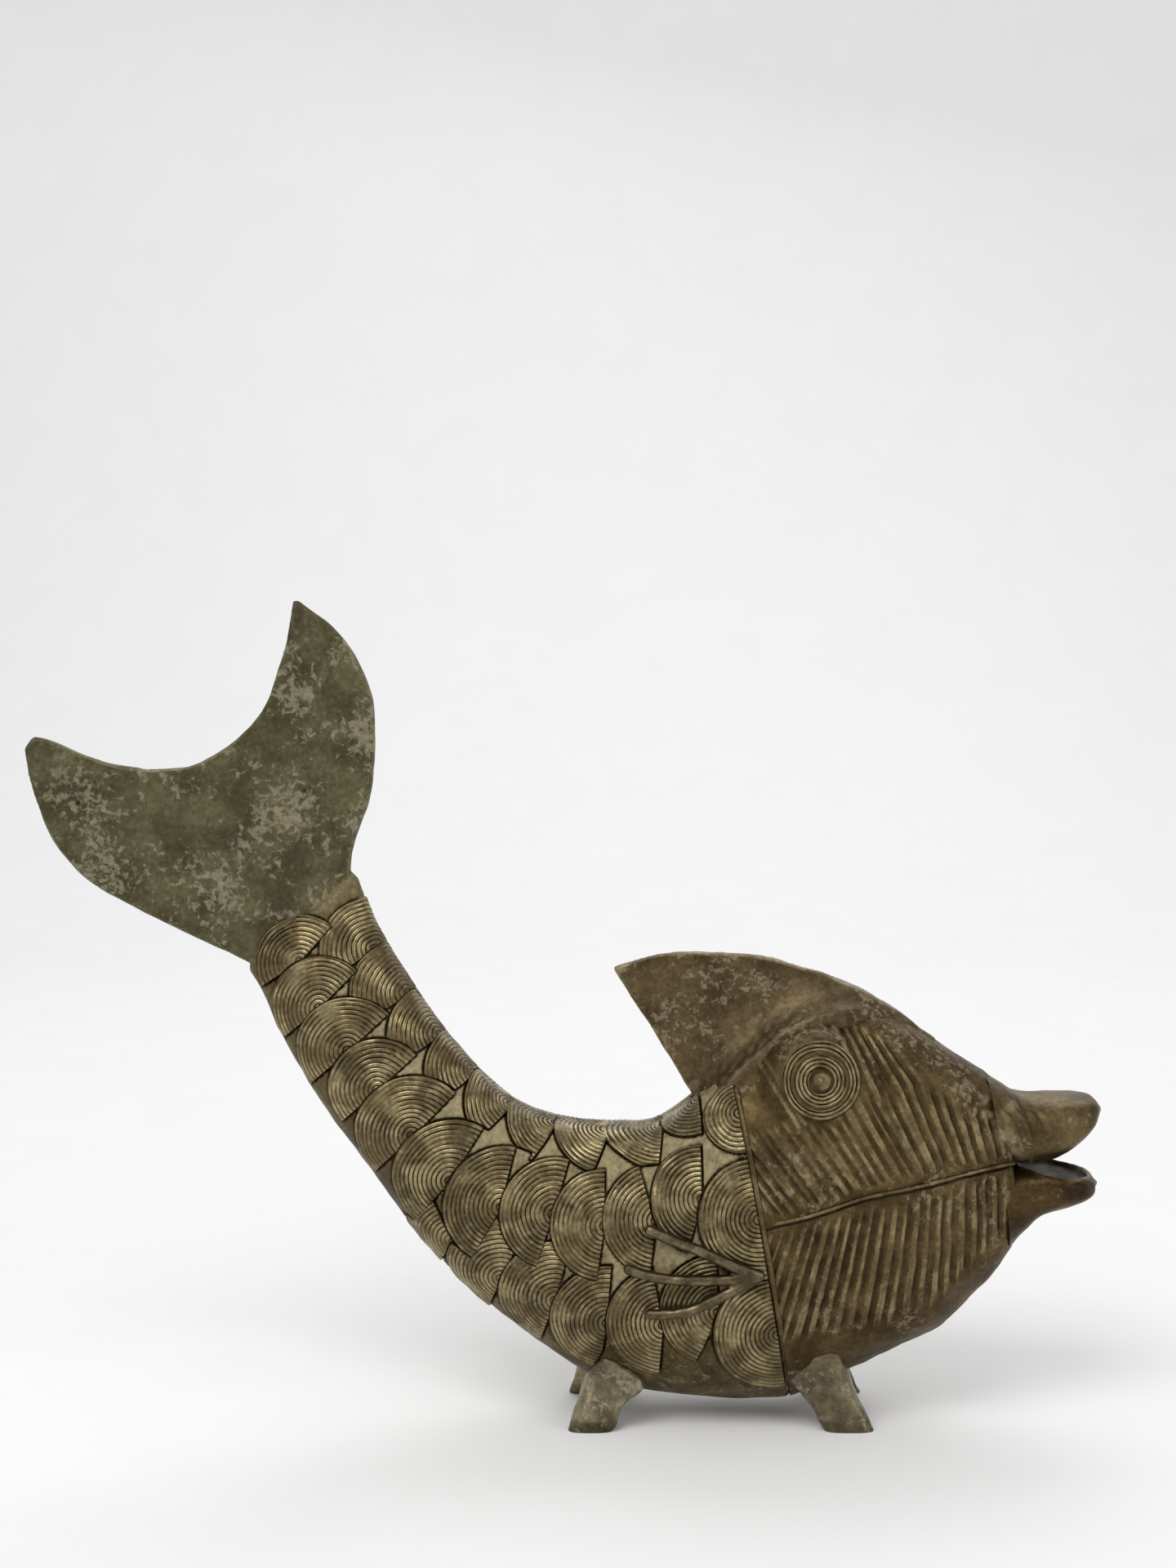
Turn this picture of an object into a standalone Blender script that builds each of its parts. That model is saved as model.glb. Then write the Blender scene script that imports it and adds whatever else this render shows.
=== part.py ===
"""Cast brass fish figurine: a leaping fish on four short legs, in the lost-wax manner.

The real fish is cast in one pour, but it is formed in wax as many pieces: a hollow skin over
a fired clay core, flat fins, lips, eyes, rods, threads and coiled scales, laid on one by one.
Each of those pieces is a solid of its own here. The snout points to +X and up is +Z. The fish
stands on its four feet at z = 0, and its right side is the one at -Y.
"""
import math

import bmesh
import bpy
import numpy as np
from mathutils import Matrix, Vector

mm = 0.001
RIGHT = -1
LEFT = 1
SIDES = {"right": RIGHT, "left": LEFT}

# Clearance between pieces that lie on each other, thickness of the cast skin,
# and how square the oval cross sections are: 2 is an ellipse
GAP = 0.3 * mm
WALL = 3.0 * mm
SQUARENESS = 2.5

# Cross sections of the body from the tail root to the mouth, in millimetres and degrees:
# centre x, centre z, lean of the section, half height, half width
BODY_SECTIONS = [
    (-75.0, 141.5, 42.5, 19.3, 2.6),
    (-70.0, 130.5, 36.0, 17.5, 6.0),
    (-64.8, 120.0, 33.0, 17.8, 9.0),
    (-53.0, 100.5, 30.0, 18.5, 12.5),
    (-36.8, 80.4, 34.0, 19.6, 15.5),
    (-26.4, 70.1, 41.5, 22.1, 17.0),
    (-13.0, 60.5, 53.5, 26.2, 19.0),
    (2.4, 52.9, 65.0, 30.9, 21.0),
    (17.4, 47.1, 76.5, 35.7, 22.5),
    (34.6, 48.0, 88.0, 40.6, 24.0),
    (55.0, 53.2, 100.0, 46.8, 25.0),
    (70.0, 62.4, 100.0, 49.9, 26.0),
    (84.4, 68.0, 99.5, 49.2, 25.5),
    (96.9, 70.0, 99.5, 45.4, 23.5),
    (107.9, 70.9, 99.5, 37.1, 20.5),
    (116.9, 71.4, 99.0, 29.4, 17.0),
    (123.9, 73.0, 97.5, 22.3, 14.5),
]
GILL_SECTION = 10

# The hollow in the skin starts this far from the tail root and ends this far behind the mouth
SOLID_TAIL = 24.0 * mm
SOLID_MOUTH = 4.0 * mm

# Flat fins
TAIL_THICKNESS = 3.2 * mm
CREST_THICKNESS = 3.4 * mm

# Lips, from the mouth forward: reach, height over the mouth line, lean, half height, half width,
# in millimetres and degrees
UPPER_LIP = [
    (0.0, 10.2, 97.5, 10.8, 13.6),
    (5.5, 7.9, 95.0, 9.8, 14.0),
    (14.0, 7.6, 90.0, 8.9, 14.4),
    (20.3, 8.6, 86.0, 6.8, 13.2),
    (24.8, 9.5, 82.0, 4.6, 10.2),
    (27.5, 10.0, 80.0, 2.0, 5.6),
]
LOWER_LIP = [
    (0.0, -12.0, 97.5, 10.4, 13.6),
    (6.5, -9.9, 95.0, 7.4, 14.2),
    (13.0, -9.7, 92.0, 5.7, 14.6),
    (18.5, -10.2, 90.0, 4.0, 13.2),
    (22.2, -10.5, 88.0, 2.8, 9.6),
    (24.1, -10.6, 86.0, 1.3, 4.8),
]
SPOON_REACH = 13.0 * mm
SPOON_LENGTH = 18.0 * mm
SPOON_WIDTH = 21.0 * mm
SPOON_DEPTH = 3.8 * mm
SPOON_TILT = 8.0

# Eyes: place on the head, tilt up, radii and heights of the coil's two tiers, how deep the coil
# reaches into its seat, the bevel of its edges, and the cone
EYE_BEHIND_GILL = 23.2 * mm
EYE_RISE = 35.0 * mm
EYE_TILT = 9.0
EYE_RADIUS = 10.9 * mm
EYE_HEIGHT = 2.4 * mm
EYE_TIER_RADIUS = 7.2 * mm
EYE_TIER_HEIGHT = 1.6 * mm
EYE_SEAT = 7.0 * mm
EYE_EDGE = 0.8 * mm
CONE_RADIUS = 3.9 * mm
CONE_HEIGHT = 3.6 * mm
# Profile of the cone from its tip down, in shares of its radius and height
CONE_PROFILE = [(0.0, 1.0), (0.35, 0.93), (0.8, 0.45), (1.0, 0.0)]

# Wax threads laid along the gill and the mouth line
THREAD_DIAMETER = 1.5 * mm
THREAD_POINTS = 12
GILL_THREAD_TOP = 44.0 * mm
GILL_THREAD_BOTTOM = -24.0 * mm
# Mouth line on the cheek, evenly spaced from the gill to the lips: rise over the flank's middle
MOUTH_LINE = (6.2 * mm, 1.6 * mm, 0.8 * mm, 0.4 * mm, 1.4 * mm, 1.6 * mm)

# Scales: coiled half discs, with their straight edge to the head
SCALE_THICKNESS = 1.4 * mm
SCALE_SEAT = 0.4 * mm
SCALE_GAP = 0.6 * mm
# Facets of a scale: the longest, the shortest, and their share of the width that they bend round
LONG_FACET = 3.6 * mm
SHORT_FACET = 1.9 * mm
FACET_SHARE = 0.28
FLANK_SPREAD = 8
BACK_SPREAD = 16
# Where the straight edge of a scale runs into the scale before it, its corner turns back
CORNER_STEP = math.radians(4)
CORNER_TRIES = 12
# Rows from the gill to the tail: radius, and rise over the middle of the flank
FLANK_ROW = [
    (15.8 * mm, 8.7 * mm),
    (13.4 * mm, 17.9 * mm),
    (13.8 * mm, 13.7 * mm),
    (14.0 * mm, 9.3 * mm),
    (13.6 * mm, 6.3 * mm),
    (15.4 * mm, 0.0 * mm),
    (15.6 * mm, -3.0 * mm),
    (15.4 * mm, -2.4 * mm),
    (12.2 * mm, -1.7 * mm),
    (13.6 * mm, -2.5 * mm),
    (13.4 * mm, -4.2 * mm),
    (11.0 * mm, -4.4 * mm),
]
# Radii of the row that lies astride the back, from the crest to the tail
BACK_ROW = [
    12.0 * mm, 14.8 * mm, 14.4 * mm, 13.2 * mm, 13.2 * mm,
    13.6 * mm, 13.8 * mm, 14.6 * mm, 9.5 * mm,
]
NAPE_RADIUS = 10.6 * mm
NAPE_RISE = 37.5 * mm
# The belly row is one strip on each side: radius and rise of each of its scales
BELLY_ROW = [
    (17.0 * mm, -24.0 * mm),
    (15.0 * mm, -13.5 * mm),
    (14.0 * mm, -17.3 * mm),
    (14.0 * mm, -18.7 * mm),
    (14.5 * mm, -18.3 * mm),
    (15.5 * mm, -19.0 * mm),
    (15.0 * mm, -17.0 * mm),
]
BELLY_NOTCH_LENGTH = 2.2 * mm
BELLY_NOTCH_WIDTH = 0.65
# Where the strip is measured along each of its scales, from the tail end to the head end
BELLY_STATIONS = (1.0, 0.6, 0.3, 0.1, 0.0)
# The strip's edge keeps clear of what lies within this distance along it
BELLY_LOOK = 2.0 * mm

# Pectoral fins: three rods that meet in a root and taper to a share of their diameter
ROD_DIAMETER = 2.3 * mm
ROD_TIP = 0.75
ROD_LIFT = 0.5 * mm
ROD_STEPS = 3
ROD_ROOT = (-3.5 * mm, -5.4 * mm)
# Bends of each rod from the root on: distance behind the gill, and rise
RODS = {
    "upper": [(-18.0 * mm, 4.2 * mm), (-27.0 * mm, 8.5 * mm), (-34.5 * mm, 11.4 * mm)],
    "middle": [(-14.0 * mm, -4.0 * mm), (-27.0 * mm, -1.9 * mm), (-38.5 * mm, 0.5 * mm)],
    "lower": [(-14.0 * mm, -8.6 * mm), (-22.0 * mm, -11.2 * mm), (-31.0 * mm, -11.3 * mm)],
}

# Legs, from the foot up: height, x at the rear, x at the front, y outside, y inside
REAR_LEG = [
    (0.0, 0.5, 12.7, 20.0, 13.0),
    (7.0, 2.8, 16.2, 19.6, 12.0),
    (13.0, 4.8, 21.3, 19.4, 9.0),
    (19.0, 7.0, 18.5, 19.6, 11.0),
    (26.0, 9.6, 12.9, 20.4, 14.0),
]
FRONT_LEG = [
    (0.0, 71.6, 85.2, 20.0, 13.0),
    (5.0, 68.4, 83.0, 19.7, 12.0),
    (10.5, 64.2, 80.6, 19.6, 9.0),
    (16.0, 60.6, 78.4, 20.0, 8.0),
    (24.0, 61.5, 74.5, 21.6, 12.0),
    (31.0, 64.5, 70.0, 23.8, 17.0),
]
LEG_SQUARENESS = 3.2

# Facets of the round shapes, and the angle over which an edge stays sharp
SHARP_ANGLE = math.radians(40)
BODY_SIDES = 24
TRUNK_RINGS = 20
HEAD_RINGS = 8
LIP_SIDES = 16
LEG_SIDES = 16
TURNED_STEPS = 24
BELLY_ROWS = 6

# Outline of the tail fin in millimetres, from its root: out, across, and whether it is a corner
TAIL_OUTLINE = [
    (11.5, 38.0, False),
    (21.0, 48.5, False),
    (33.0, 57.5, False),
    (48.0, 61.8, False),
    (64.4, 59.9, False),
    (65.5, 58.8, True),
    (55.5, 45.0, False),
    (48.5, 28.0, False),
    (50.5, 8.5, False),
    (63.5, -7.5, False),
    (83.8, -18.4, False),
    (86.7, -20.7, True),
    (85.9, -24.4, True),
    (78.6, -29.3, False),
    (66.0, -35.0, False),
    (49.9, -37.1, False),
    (32.0, -32.0, False),
    (10.0, -23.4, False),
]
# Outline of the crest in millimetres: x, z, and whether it is a corner.
# Its lower points lie inside the head, which cuts the crest to its seat
CREST_OUTLINE = [
    (13.3, 126.7, True),
    (24.0, 130.1, False),
    (38.0, 131.2, False),
    (58.5, 129.1, False),
    (84.0, 119.9, False),
    (104.0, 106.6, True),
    (98.0, 98.0, True),
    (60.0, 98.0, True),
    (38.0, 86.5, True),
]

PARTS = "cast_fish_figurine"
CUTTERS = "cutters"


def clear_scene():
    """Remove every object and leave two collections, for the parts and for the cutters."""
    for thing in list(bpy.data.objects):
        bpy.data.objects.remove(thing, do_unlink=True)
    for name in (PARTS, CUTTERS):
        collection = bpy.data.collections.new(name)
        bpy.context.scene.collection.children.link(collection)


def srgb(value):
    """Linear colour of an sRGB hex value."""
    parts = [int(value[i:i + 2], 16) / 255 for i in (1, 3, 5)]
    return [c / 12.92 if c <= 0.04045 else ((c + 0.055) / 1.055) ** 2.4 for c in parts] + [1.0]


# Colour, roughness and metallic value of each kind of surface
FINISHES = {
    "fin": ("#7a7258", 0.50, 0.85),
    "skin": ("#6e6648", 0.48, 0.85),
    "scale": ("#74694a", 0.42, 0.90),
    "thread": ("#857a55", 0.42, 0.90),
    "leg": ("#5a5848", 0.52, 0.80),
    "core": ("#5c4a3c", 0.95, 0.0),
}


def paint(thing, finish):
    """Give an object its own Principled material."""
    colour, roughness, metallic = FINISHES[finish]
    material = bpy.data.materials.new(thing.name)
    material.use_nodes = True
    shader = material.node_tree.nodes["Principled BSDF"]
    shader.inputs["Base Color"].default_value = srgb(colour)
    shader.inputs["Roughness"].default_value = roughness
    shader.inputs["Metallic"].default_value = metallic
    thing.data.materials.clear()
    thing.data.materials.append(material)


def add_object(name, data, finish=None):
    """Link an object as a part, or as a cutter if it has no finish."""
    thing = bpy.data.objects.new(name, data)
    bpy.data.collections[PARTS if finish else CUTTERS].objects.link(thing)
    if finish:
        paint(thing, finish)
        thing.data.shade_smooth()
        thing.data.set_sharp_from_angle(angle=SHARP_ANGLE)
    else:
        thing.hide_render = True
        thing.display_type = "WIRE"
    return thing


def finish_mesh(bm, name, finish=None):
    """Turn a bmesh into an object, with its faces pointing out."""
    bmesh.ops.recalc_face_normals(bm, faces=bm.faces)
    mesh = bpy.data.meshes.new(name)
    bm.to_mesh(mesh)
    bm.free()
    return add_object(name, mesh, finish)


def combine(thing, cutter, operation):
    """Cut an object with a cutter, or join it to one."""
    modifier = thing.modifiers.new(operation.title(), "BOOLEAN")
    modifier.operation = operation
    modifier.solver = "EXACT"
    modifier.object = cutter


# Body surface

def section_lengths():
    """Distance of each section from the tail root, along the body's centres."""
    lengths = [0.0]
    for (x0, z0, *_), (x1, z1, *_) in zip(BODY_SECTIONS, BODY_SECTIONS[1:]):
        lengths.append(lengths[-1] + math.hypot(x1 - x0, z1 - z0) * mm)
    return np.array(lengths)


LENGTHS = section_lengths()
ROWS = np.array(BODY_SECTIONS) * np.array([mm, mm, 1.0, mm, mm])
GILL = LENGTHS[GILL_SECTION]
MOUTH = LENGTHS[-1]
QUARTER = np.linspace(0, math.pi / 2, 49)


def slope_at(index):
    """Slope of every section value where a section stands."""
    first = max(index - 1, 0)
    last = min(index + 1, len(LENGTHS) - 1)
    return (ROWS[last] - ROWS[first]) / (LENGTHS[last] - LENGTHS[first])


def section(along):
    """Centre, upward direction, half height and half width of the body at a distance along it."""
    along = min(max(along, 0.0), MOUTH)
    index = min(int(np.searchsorted(LENGTHS, along, side="right")) - 1, len(LENGTHS) - 2)
    span = LENGTHS[index + 1] - LENGTHS[index]
    t = (along - LENGTHS[index]) / span
    values = (2 * t**3 - 3 * t**2 + 1) * ROWS[index] + (3 * t**2 - 2 * t**3) * ROWS[index + 1]
    values = values + (t**3 - 2 * t**2 + t) * span * slope_at(index)
    values = values + (t**3 - t**2) * span * slope_at(index + 1)
    x, z, lean, half_height, half_width = values
    up = Vector((math.cos(math.radians(lean)), 0, math.sin(math.radians(lean))))
    return Vector((x, 0, z)), up, half_height, half_width


def oval(angle, half_width, half_height, squareness):
    """Point of an oval that is squarer than an ellipse."""
    c, s = math.cos(angle), math.sin(angle)
    across = half_width * math.copysign(abs(c) ** (2 / squareness), c)
    over = half_height * math.copysign(abs(s) ** (2 / squareness), s)
    return across, over


def quarter_lengths(half_height, half_width):
    """Lengths along a quarter of a section, from the flank to the back."""
    across = half_width * np.cos(QUARTER) ** (2 / SQUARENESS)
    over = half_height * np.sin(QUARTER) ** (2 / SQUARENESS)
    steps = np.hypot(np.diff(across), np.diff(over))
    return np.concatenate([[0.0], np.cumsum(steps)])


def back_rise(along):
    """Rise of the ridge of the back over the middle of the flank, along the surface."""
    _, _, half_height, half_width = section(along)
    return quarter_lengths(half_height, half_width)[-1]


def skin_point(along, rise, side):
    """Point of the body surface. A rise past the back or the belly goes on down the other side."""
    centre, up, half_height, half_width = section(along)
    lengths = quarter_lengths(half_height, half_width)
    if abs(rise) > lengths[-1]:
        rise = math.copysign(2 * lengths[-1] - abs(rise), rise)
        side = -side
    angle = math.copysign(float(np.interp(abs(rise), lengths, QUARTER)), rise)
    across, over = oval(angle, half_width, half_height, SQUARENESS)
    return centre + up * over + Vector((0, side * max(across, 0.0), 0))


def skin_normal(along, rise, side):
    """Outward direction of the body surface."""
    step = 0.2 * mm
    forward = skin_point(along + step, rise, side) - skin_point(along - step, rise, side)
    upward = skin_point(along, rise + step, side) - skin_point(along, rise - step, side)
    normal = forward.cross(upward).normalized()
    return normal if normal.dot(skin_point(along, rise, side) - section(along)[0]) > 0 else -normal


def lifted(along, rise, side, lift):
    """Point at a height over the body surface."""
    return skin_point(along, rise, side) + skin_normal(along, rise, side) * lift


def stretch(along, rise, side):
    """Real length across the sections for each length along the centres, and their slant."""
    step = 0.5 * mm
    along = min(max(along, 2 * step), MOUTH - 2 * step)
    forward = skin_point(along + step, rise, side) - skin_point(along - step, rise, side)
    forward = forward / (2 * step)
    upward = (skin_point(along, rise + step, side) - skin_point(along, rise - step, side)).normalized()
    slant = forward.dot(upward)
    return math.sqrt(forward.length_squared - slant**2), slant


# Solids made of rings

def body_ring(along, inset):
    """Ring of points round the body, inside its surface by the inset."""
    centre, up, half_height, half_width = section(along)
    points = []
    for k in range(BODY_SIDES):
        angle = 2 * math.pi * k / BODY_SIDES
        across, over = oval(angle, half_width - inset, half_height - inset, SQUARENESS)
        points.append(centre + up * over + Vector((0, across, 0)))
    return points


def loft(name, rings, finish=None):
    """Closed solid through rings of equal count, flat at both ends."""
    bm = bmesh.new()
    loops = [[bm.verts.new(point) for point in ring] for ring in rings]
    for lower, upper in zip(loops, loops[1:]):
        count = len(lower)
        for k in range(count):
            n = (k + 1) % count
            bm.faces.new((lower[k], lower[n], upper[n], upper[k]))
    bm.faces.new(loops[0])
    bm.faces.new(loops[-1])
    return finish_mesh(bm, name, finish)


def spaced(start, end, count):
    """Evenly spaced distances from a start to an end."""
    return [start + (end - start) * k / (count - 1) for k in range(count)]


TRUNK_STATIONS = spaced(0.0, GILL - GAP / 2, TRUNK_RINGS)
HEAD_STATIONS = spaced(GILL + GAP / 2, MOUTH, HEAD_RINGS)


def make_trunk():
    """Hollow skin from the tail root to the gill, open where the head carries on."""
    outer = [body_ring(along, 0.0) for along in TRUNK_STATIONS]
    hollow = [along for along in TRUNK_STATIONS if along > SOLID_TAIL]
    inner = [body_ring(along, WALL) for along in [SOLID_TAIL] + hollow]
    return loft("trunk_shell", outer + inner[::-1], "skin")


def make_head():
    """Hollow skin from the gill to the mouth, closed behind the lips."""
    outer = [body_ring(along, 0.0) for along in HEAD_STATIONS]
    end = MOUTH - SOLID_MOUTH
    hollow = [along for along in HEAD_STATIONS if along < end]
    inner = [body_ring(along, WALL) for along in hollow + [end]]
    return loft("head_shell", outer[::-1] + inner, "skin")


def make_core():
    """Fired clay core that fills the hollow of trunk and head."""
    inset = WALL + GAP
    start = SOLID_TAIL + GAP
    end = MOUTH - SOLID_MOUTH - GAP
    between = [along for along in TRUNK_STATIONS + HEAD_STATIONS if start < along < end]
    rings = [body_ring(along, inset) for along in [start] + between + [end]]
    return loft("clay_core", rings, "core")


def make_clearance():
    """Cutter: the whole body, larger by the gap."""
    stations = TRUNK_STATIONS + HEAD_STATIONS
    return loft("body_clearance", [body_ring(along, -GAP) for along in stations])


# Flat fins

def plate(name, outline, thickness, finish):
    """Flat fin in the plane of the fish, from an outline of points that say whether they are corners."""
    curve = bpy.data.curves.new(name, "CURVE")
    curve.dimensions = "2D"
    curve.fill_mode = "BOTH"
    curve.extrude = thickness / 2
    curve.resolution_u = 5
    spline = curve.splines.new("BEZIER")
    spline.bezier_points.add(len(outline) - 1)
    for point, (x, z, corner) in zip(spline.bezier_points, outline):
        point.co = (x, z, 0)
        kind = "VECTOR" if corner else "AUTO"
        point.handle_left_type = kind
        point.handle_right_type = kind
    spline.use_cyclic_u = True
    drawing = bpy.data.objects.new(name + "_outline", curve)
    drawing.rotation_euler = (math.pi / 2, 0, 0)
    return meshed(drawing, name, finish)


def meshed(drawing, name, finish=None):
    """Mesh of a curve object, with its caps welded on, in the place of the curve."""
    collection = bpy.data.collections[CUTTERS]
    collection.objects.link(drawing)
    bpy.context.view_layer.update()
    graph = bpy.context.evaluated_depsgraph_get()
    mesh = bpy.data.meshes.new_from_object(drawing.evaluated_get(graph))
    bm = bmesh.new()
    bm.from_mesh(mesh)
    bpy.data.meshes.remove(mesh)
    bmesh.ops.remove_doubles(bm, verts=bm.verts, dist=0.001 * mm)
    place = drawing.matrix_world.copy()
    bpy.data.objects.remove(drawing)
    thing = finish_mesh(bm, name, finish)
    thing.matrix_world = place
    return thing


def make_tail():
    """Forked tail fin, a flat plate that grows out of the tail root."""
    centre, up, half_height, _ = section(0.0)
    out = Vector((-up.z, 0, up.x))

    def place(away, across, corner):
        point = centre + out * away + up * across
        return point.x, point.z, corner

    outline = [place(GAP, half_height, True)]
    outline += [place(away * mm, across * mm, corner) for away, across, corner in TAIL_OUTLINE]
    outline.append(place(GAP, -half_height, True))
    return plate("tail_fin", outline, TAIL_THICKNESS, "fin")


def make_crest(clearance):
    """Crest on the head, cut to its seat on the body."""
    outline = [(x * mm, z * mm, corner) for x, z, corner in CREST_OUTLINE]
    crest = plate("crest_fin", outline, CREST_THICKNESS, "fin")
    combine(crest, clearance, "DIFFERENCE")
    return crest


# Lips

def lip_rings(rows):
    """Rings of a lip, placed from the flat end of the head."""
    centre, up, _, _ = section(MOUTH)
    ahead = Vector((up.z, 0, -up.x))
    rings = []
    for reach, height, lean, half_height, half_width in rows:
        middle = centre + ahead * (reach * mm + GAP) + up * (height * mm)
        lift = Vector((math.cos(math.radians(lean)), 0, math.sin(math.radians(lean))))
        ring = []
        for k in range(LIP_SIDES):
            angle = 2 * math.pi * k / LIP_SIDES
            across, over = oval(angle, half_width * mm, half_height * mm, SQUARENESS)
            ring.append(middle + lift * over + Vector((0, across, 0)))
        rings.append(ring)
    return rings


def make_lips():
    """Upper lip, and the lower lip with the spoon pressed into it."""
    loft("upper_lip", lip_rings(UPPER_LIP), "fin")
    lower = loft("lower_lip", lip_rings(LOWER_LIP), "fin")
    centre, up, _, _ = section(MOUTH)
    ahead = Vector((up.z, 0, -up.x))
    rim = (LOWER_LIP[2][1] + LOWER_LIP[2][3]) * mm
    bm = bmesh.new()
    size = Matrix.Diagonal((SPOON_LENGTH / 2, SPOON_WIDTH / 2, SPOON_DEPTH, 1.0))
    bmesh.ops.create_uvsphere(bm, u_segments=16, v_segments=10, radius=1.0, matrix=size)
    spoon = finish_mesh(bm, "spoon_cutter")
    spoon.location = centre + ahead * SPOON_REACH + up * rim
    spoon.rotation_euler = (0, math.radians(SPOON_TILT), 0)
    combine(lower, spoon, "DIFFERENCE")


# Eyes

def turned(name, profile, place, finish):
    """Turned solid about its own z axis, from a profile that runs from its top down."""
    bm = bmesh.new()
    points = [bm.verts.new((radius, 0, height)) for radius, height in profile]
    for a, b in zip(points, points[1:]):
        bm.edges.new((a, b))
    mesh = bpy.data.meshes.new(name)
    bm.to_mesh(mesh)
    bm.free()
    thing = add_object(name, mesh, finish)
    screw = thing.modifiers.new("Screw", "SCREW")
    screw.steps = TURNED_STEPS
    screw.render_steps = TURNED_STEPS
    screw.use_merge_vertices = True
    screw.merge_threshold = 0.01 * mm
    thing.matrix_world = place
    return thing


def eye_place(side):
    """Frame of an eye: its z axis points out of the head."""
    along = GILL + EYE_BEHIND_GILL
    seat = skin_point(along, EYE_RISE, side)
    tilt = math.radians(90 - EYE_TILT)
    return Matrix.Translation(seat) @ Matrix.Rotation(-side * tilt, 4, "X")


def make_eyes(clearance):
    """Coiled eye disc in two tiers, with a cone on it, on each side."""
    for word, side in SIDES.items():
        place = eye_place(side)
        top = EYE_HEIGHT + EYE_TIER_HEIGHT
        disc = [
            (0.0, top),
            (EYE_TIER_RADIUS - EYE_EDGE, top),
            (EYE_TIER_RADIUS, top - EYE_EDGE),
            (EYE_TIER_RADIUS, EYE_HEIGHT),
            (EYE_RADIUS - EYE_EDGE, EYE_HEIGHT),
            (EYE_RADIUS, EYE_HEIGHT - EYE_EDGE),
            (EYE_RADIUS, -EYE_SEAT),
            (0.0, -EYE_SEAT),
        ]
        coil = turned(word + "_eye_coil", disc, place, "scale")
        combine(coil, clearance, "DIFFERENCE")
        foot = top + GAP
        cone = [(CONE_RADIUS * out, foot + CONE_HEIGHT * over) for out, over in CONE_PROFILE]
        cone.append((0.0, foot))
        turned(word + "_eye_cone", cone, place, "thread")


# Threads and rods

def tube(name, points, radii, finish=None):
    """Round tube along points, with its own radius at each."""
    curve = bpy.data.curves.new(name, "CURVE")
    curve.dimensions = "3D"
    curve.bevel_depth = 1.0
    curve.bevel_resolution = 2
    curve.use_fill_caps = True
    spline = curve.splines.new("POLY")
    spline.points.add(len(points) - 1)
    for dot, point, radius in zip(spline.points, points, radii):
        dot.co = (*point, 1.0)
        dot.radius = radius
    return meshed(bpy.data.objects.new(name + "_path", curve), name, finish)


def make_threads():
    """A thread over the seam at the gill and one along the mouth line, on each side."""
    radius = THREAD_DIAMETER / 2
    lift = radius + SCALE_SEAT
    for word, side in SIDES.items():
        rises = spaced(GILL_THREAD_TOP, GILL_THREAD_BOTTOM, THREAD_POINTS)
        gill = [lifted(GILL, rise, side, lift) for rise in rises]
        tube(word + "_gill_thread", gill, [radius] * len(gill), "thread")
        start = GILL + THREAD_DIAMETER + GAP
        end = MOUTH - THREAD_DIAMETER / 2
        line = []
        for along in spaced(start, end, THREAD_POINTS):
            share = (along - start) / (end - start)
            rise = float(np.interp(share * (len(MOUTH_LINE) - 1), range(len(MOUTH_LINE)), MOUTH_LINE))
            line.append(lifted(along, rise, side, lift))
        tube(word + "_mouth_thread", line, [radius] * len(line), "thread")


def rod_path(bends, side):
    """Points and radii of one rod from the root to its tip, standing off the scales."""
    lift = SCALE_SEAT + SCALE_THICKNESS + GAP + ROD_DIAMETER / 2 + ROD_LIFT
    knots = [ROD_ROOT] + bends
    points = []
    for (s0, r0), (s1, r1) in zip(knots, knots[1:]):
        for k in range(ROD_STEPS):
            share = k / ROD_STEPS
            points.append(lifted(GILL + s0 + (s1 - s0) * share, r0 + (r1 - r0) * share, side, lift))
    points.append(lifted(GILL + knots[-1][0], knots[-1][1], side, lift))
    smooth = [points[0]]
    smooth += [(a + b * 2 + c) / 4 for a, b, c in zip(points, points[1:], points[2:])]
    smooth.append(points[-1])
    return smooth, spaced(ROD_DIAMETER / 2, ROD_DIAMETER / 2 * ROD_TIP, len(smooth))


def make_pectoral_fins():
    """Three rods joined at their root, on each side."""
    for word, side in SIDES.items():
        name = word + "_pectoral_fin"
        fin = tube(name, *rod_path(RODS["middle"], side), "thread")
        for which in ("upper", "lower"):
            rod = tube(name + "_" + which, *rod_path(RODS[which], side))
            combine(fin, rod, "UNION")


# Legs

def leg_row(rows, height):
    """Outline of a leg at a height, between its rows."""
    table = np.array(rows) * mm
    return [float(np.interp(height, table[:, 0], table[:, k])) for k in range(1, 5)]


def make_legs(clearance):
    """Two pairs of flat-footed legs, cut to their seat under the body."""
    for place, rows in (("rear", REAR_LEG), ("front", FRONT_LEG)):
        for word, side in SIDES.items():
            rings = []
            for height, rear, front, outside, inside in rows:
                ring = []
                for k in range(LEG_SIDES):
                    angle = 2 * math.pi * k / LEG_SIDES
                    length, depth = oval(angle, (front - rear) / 2, (outside - inside) / 2, LEG_SQUARENESS)
                    x = (front + rear) / 2 + length
                    y = side * ((outside + inside) / 2 + depth)
                    ring.append(Vector((x, y, height)) * mm)
                rings.append(ring)
            leg = loft(f"{word}_{place}_leg", rings, "leg")
            combine(leg, clearance, "DIFFERENCE")


# Scales

LAID = []


def crest_heel():
    """Distance along the body at which the rear edge of the crest meets the back."""
    (top_x, top_z, _), (low_x, low_z, _) = CREST_OUTLINE[0], CREST_OUTLINE[-1]
    for along in spaced(0.0, GILL, 400):
        ridge = skin_point(along, back_rise(along), RIGHT)
        share = (ridge.z / mm - low_z) / (top_z - low_z)
        if ridge.x / mm > low_x + (top_x - low_x) * share:
            return along
    return GILL


HEEL = crest_heel()


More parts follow.
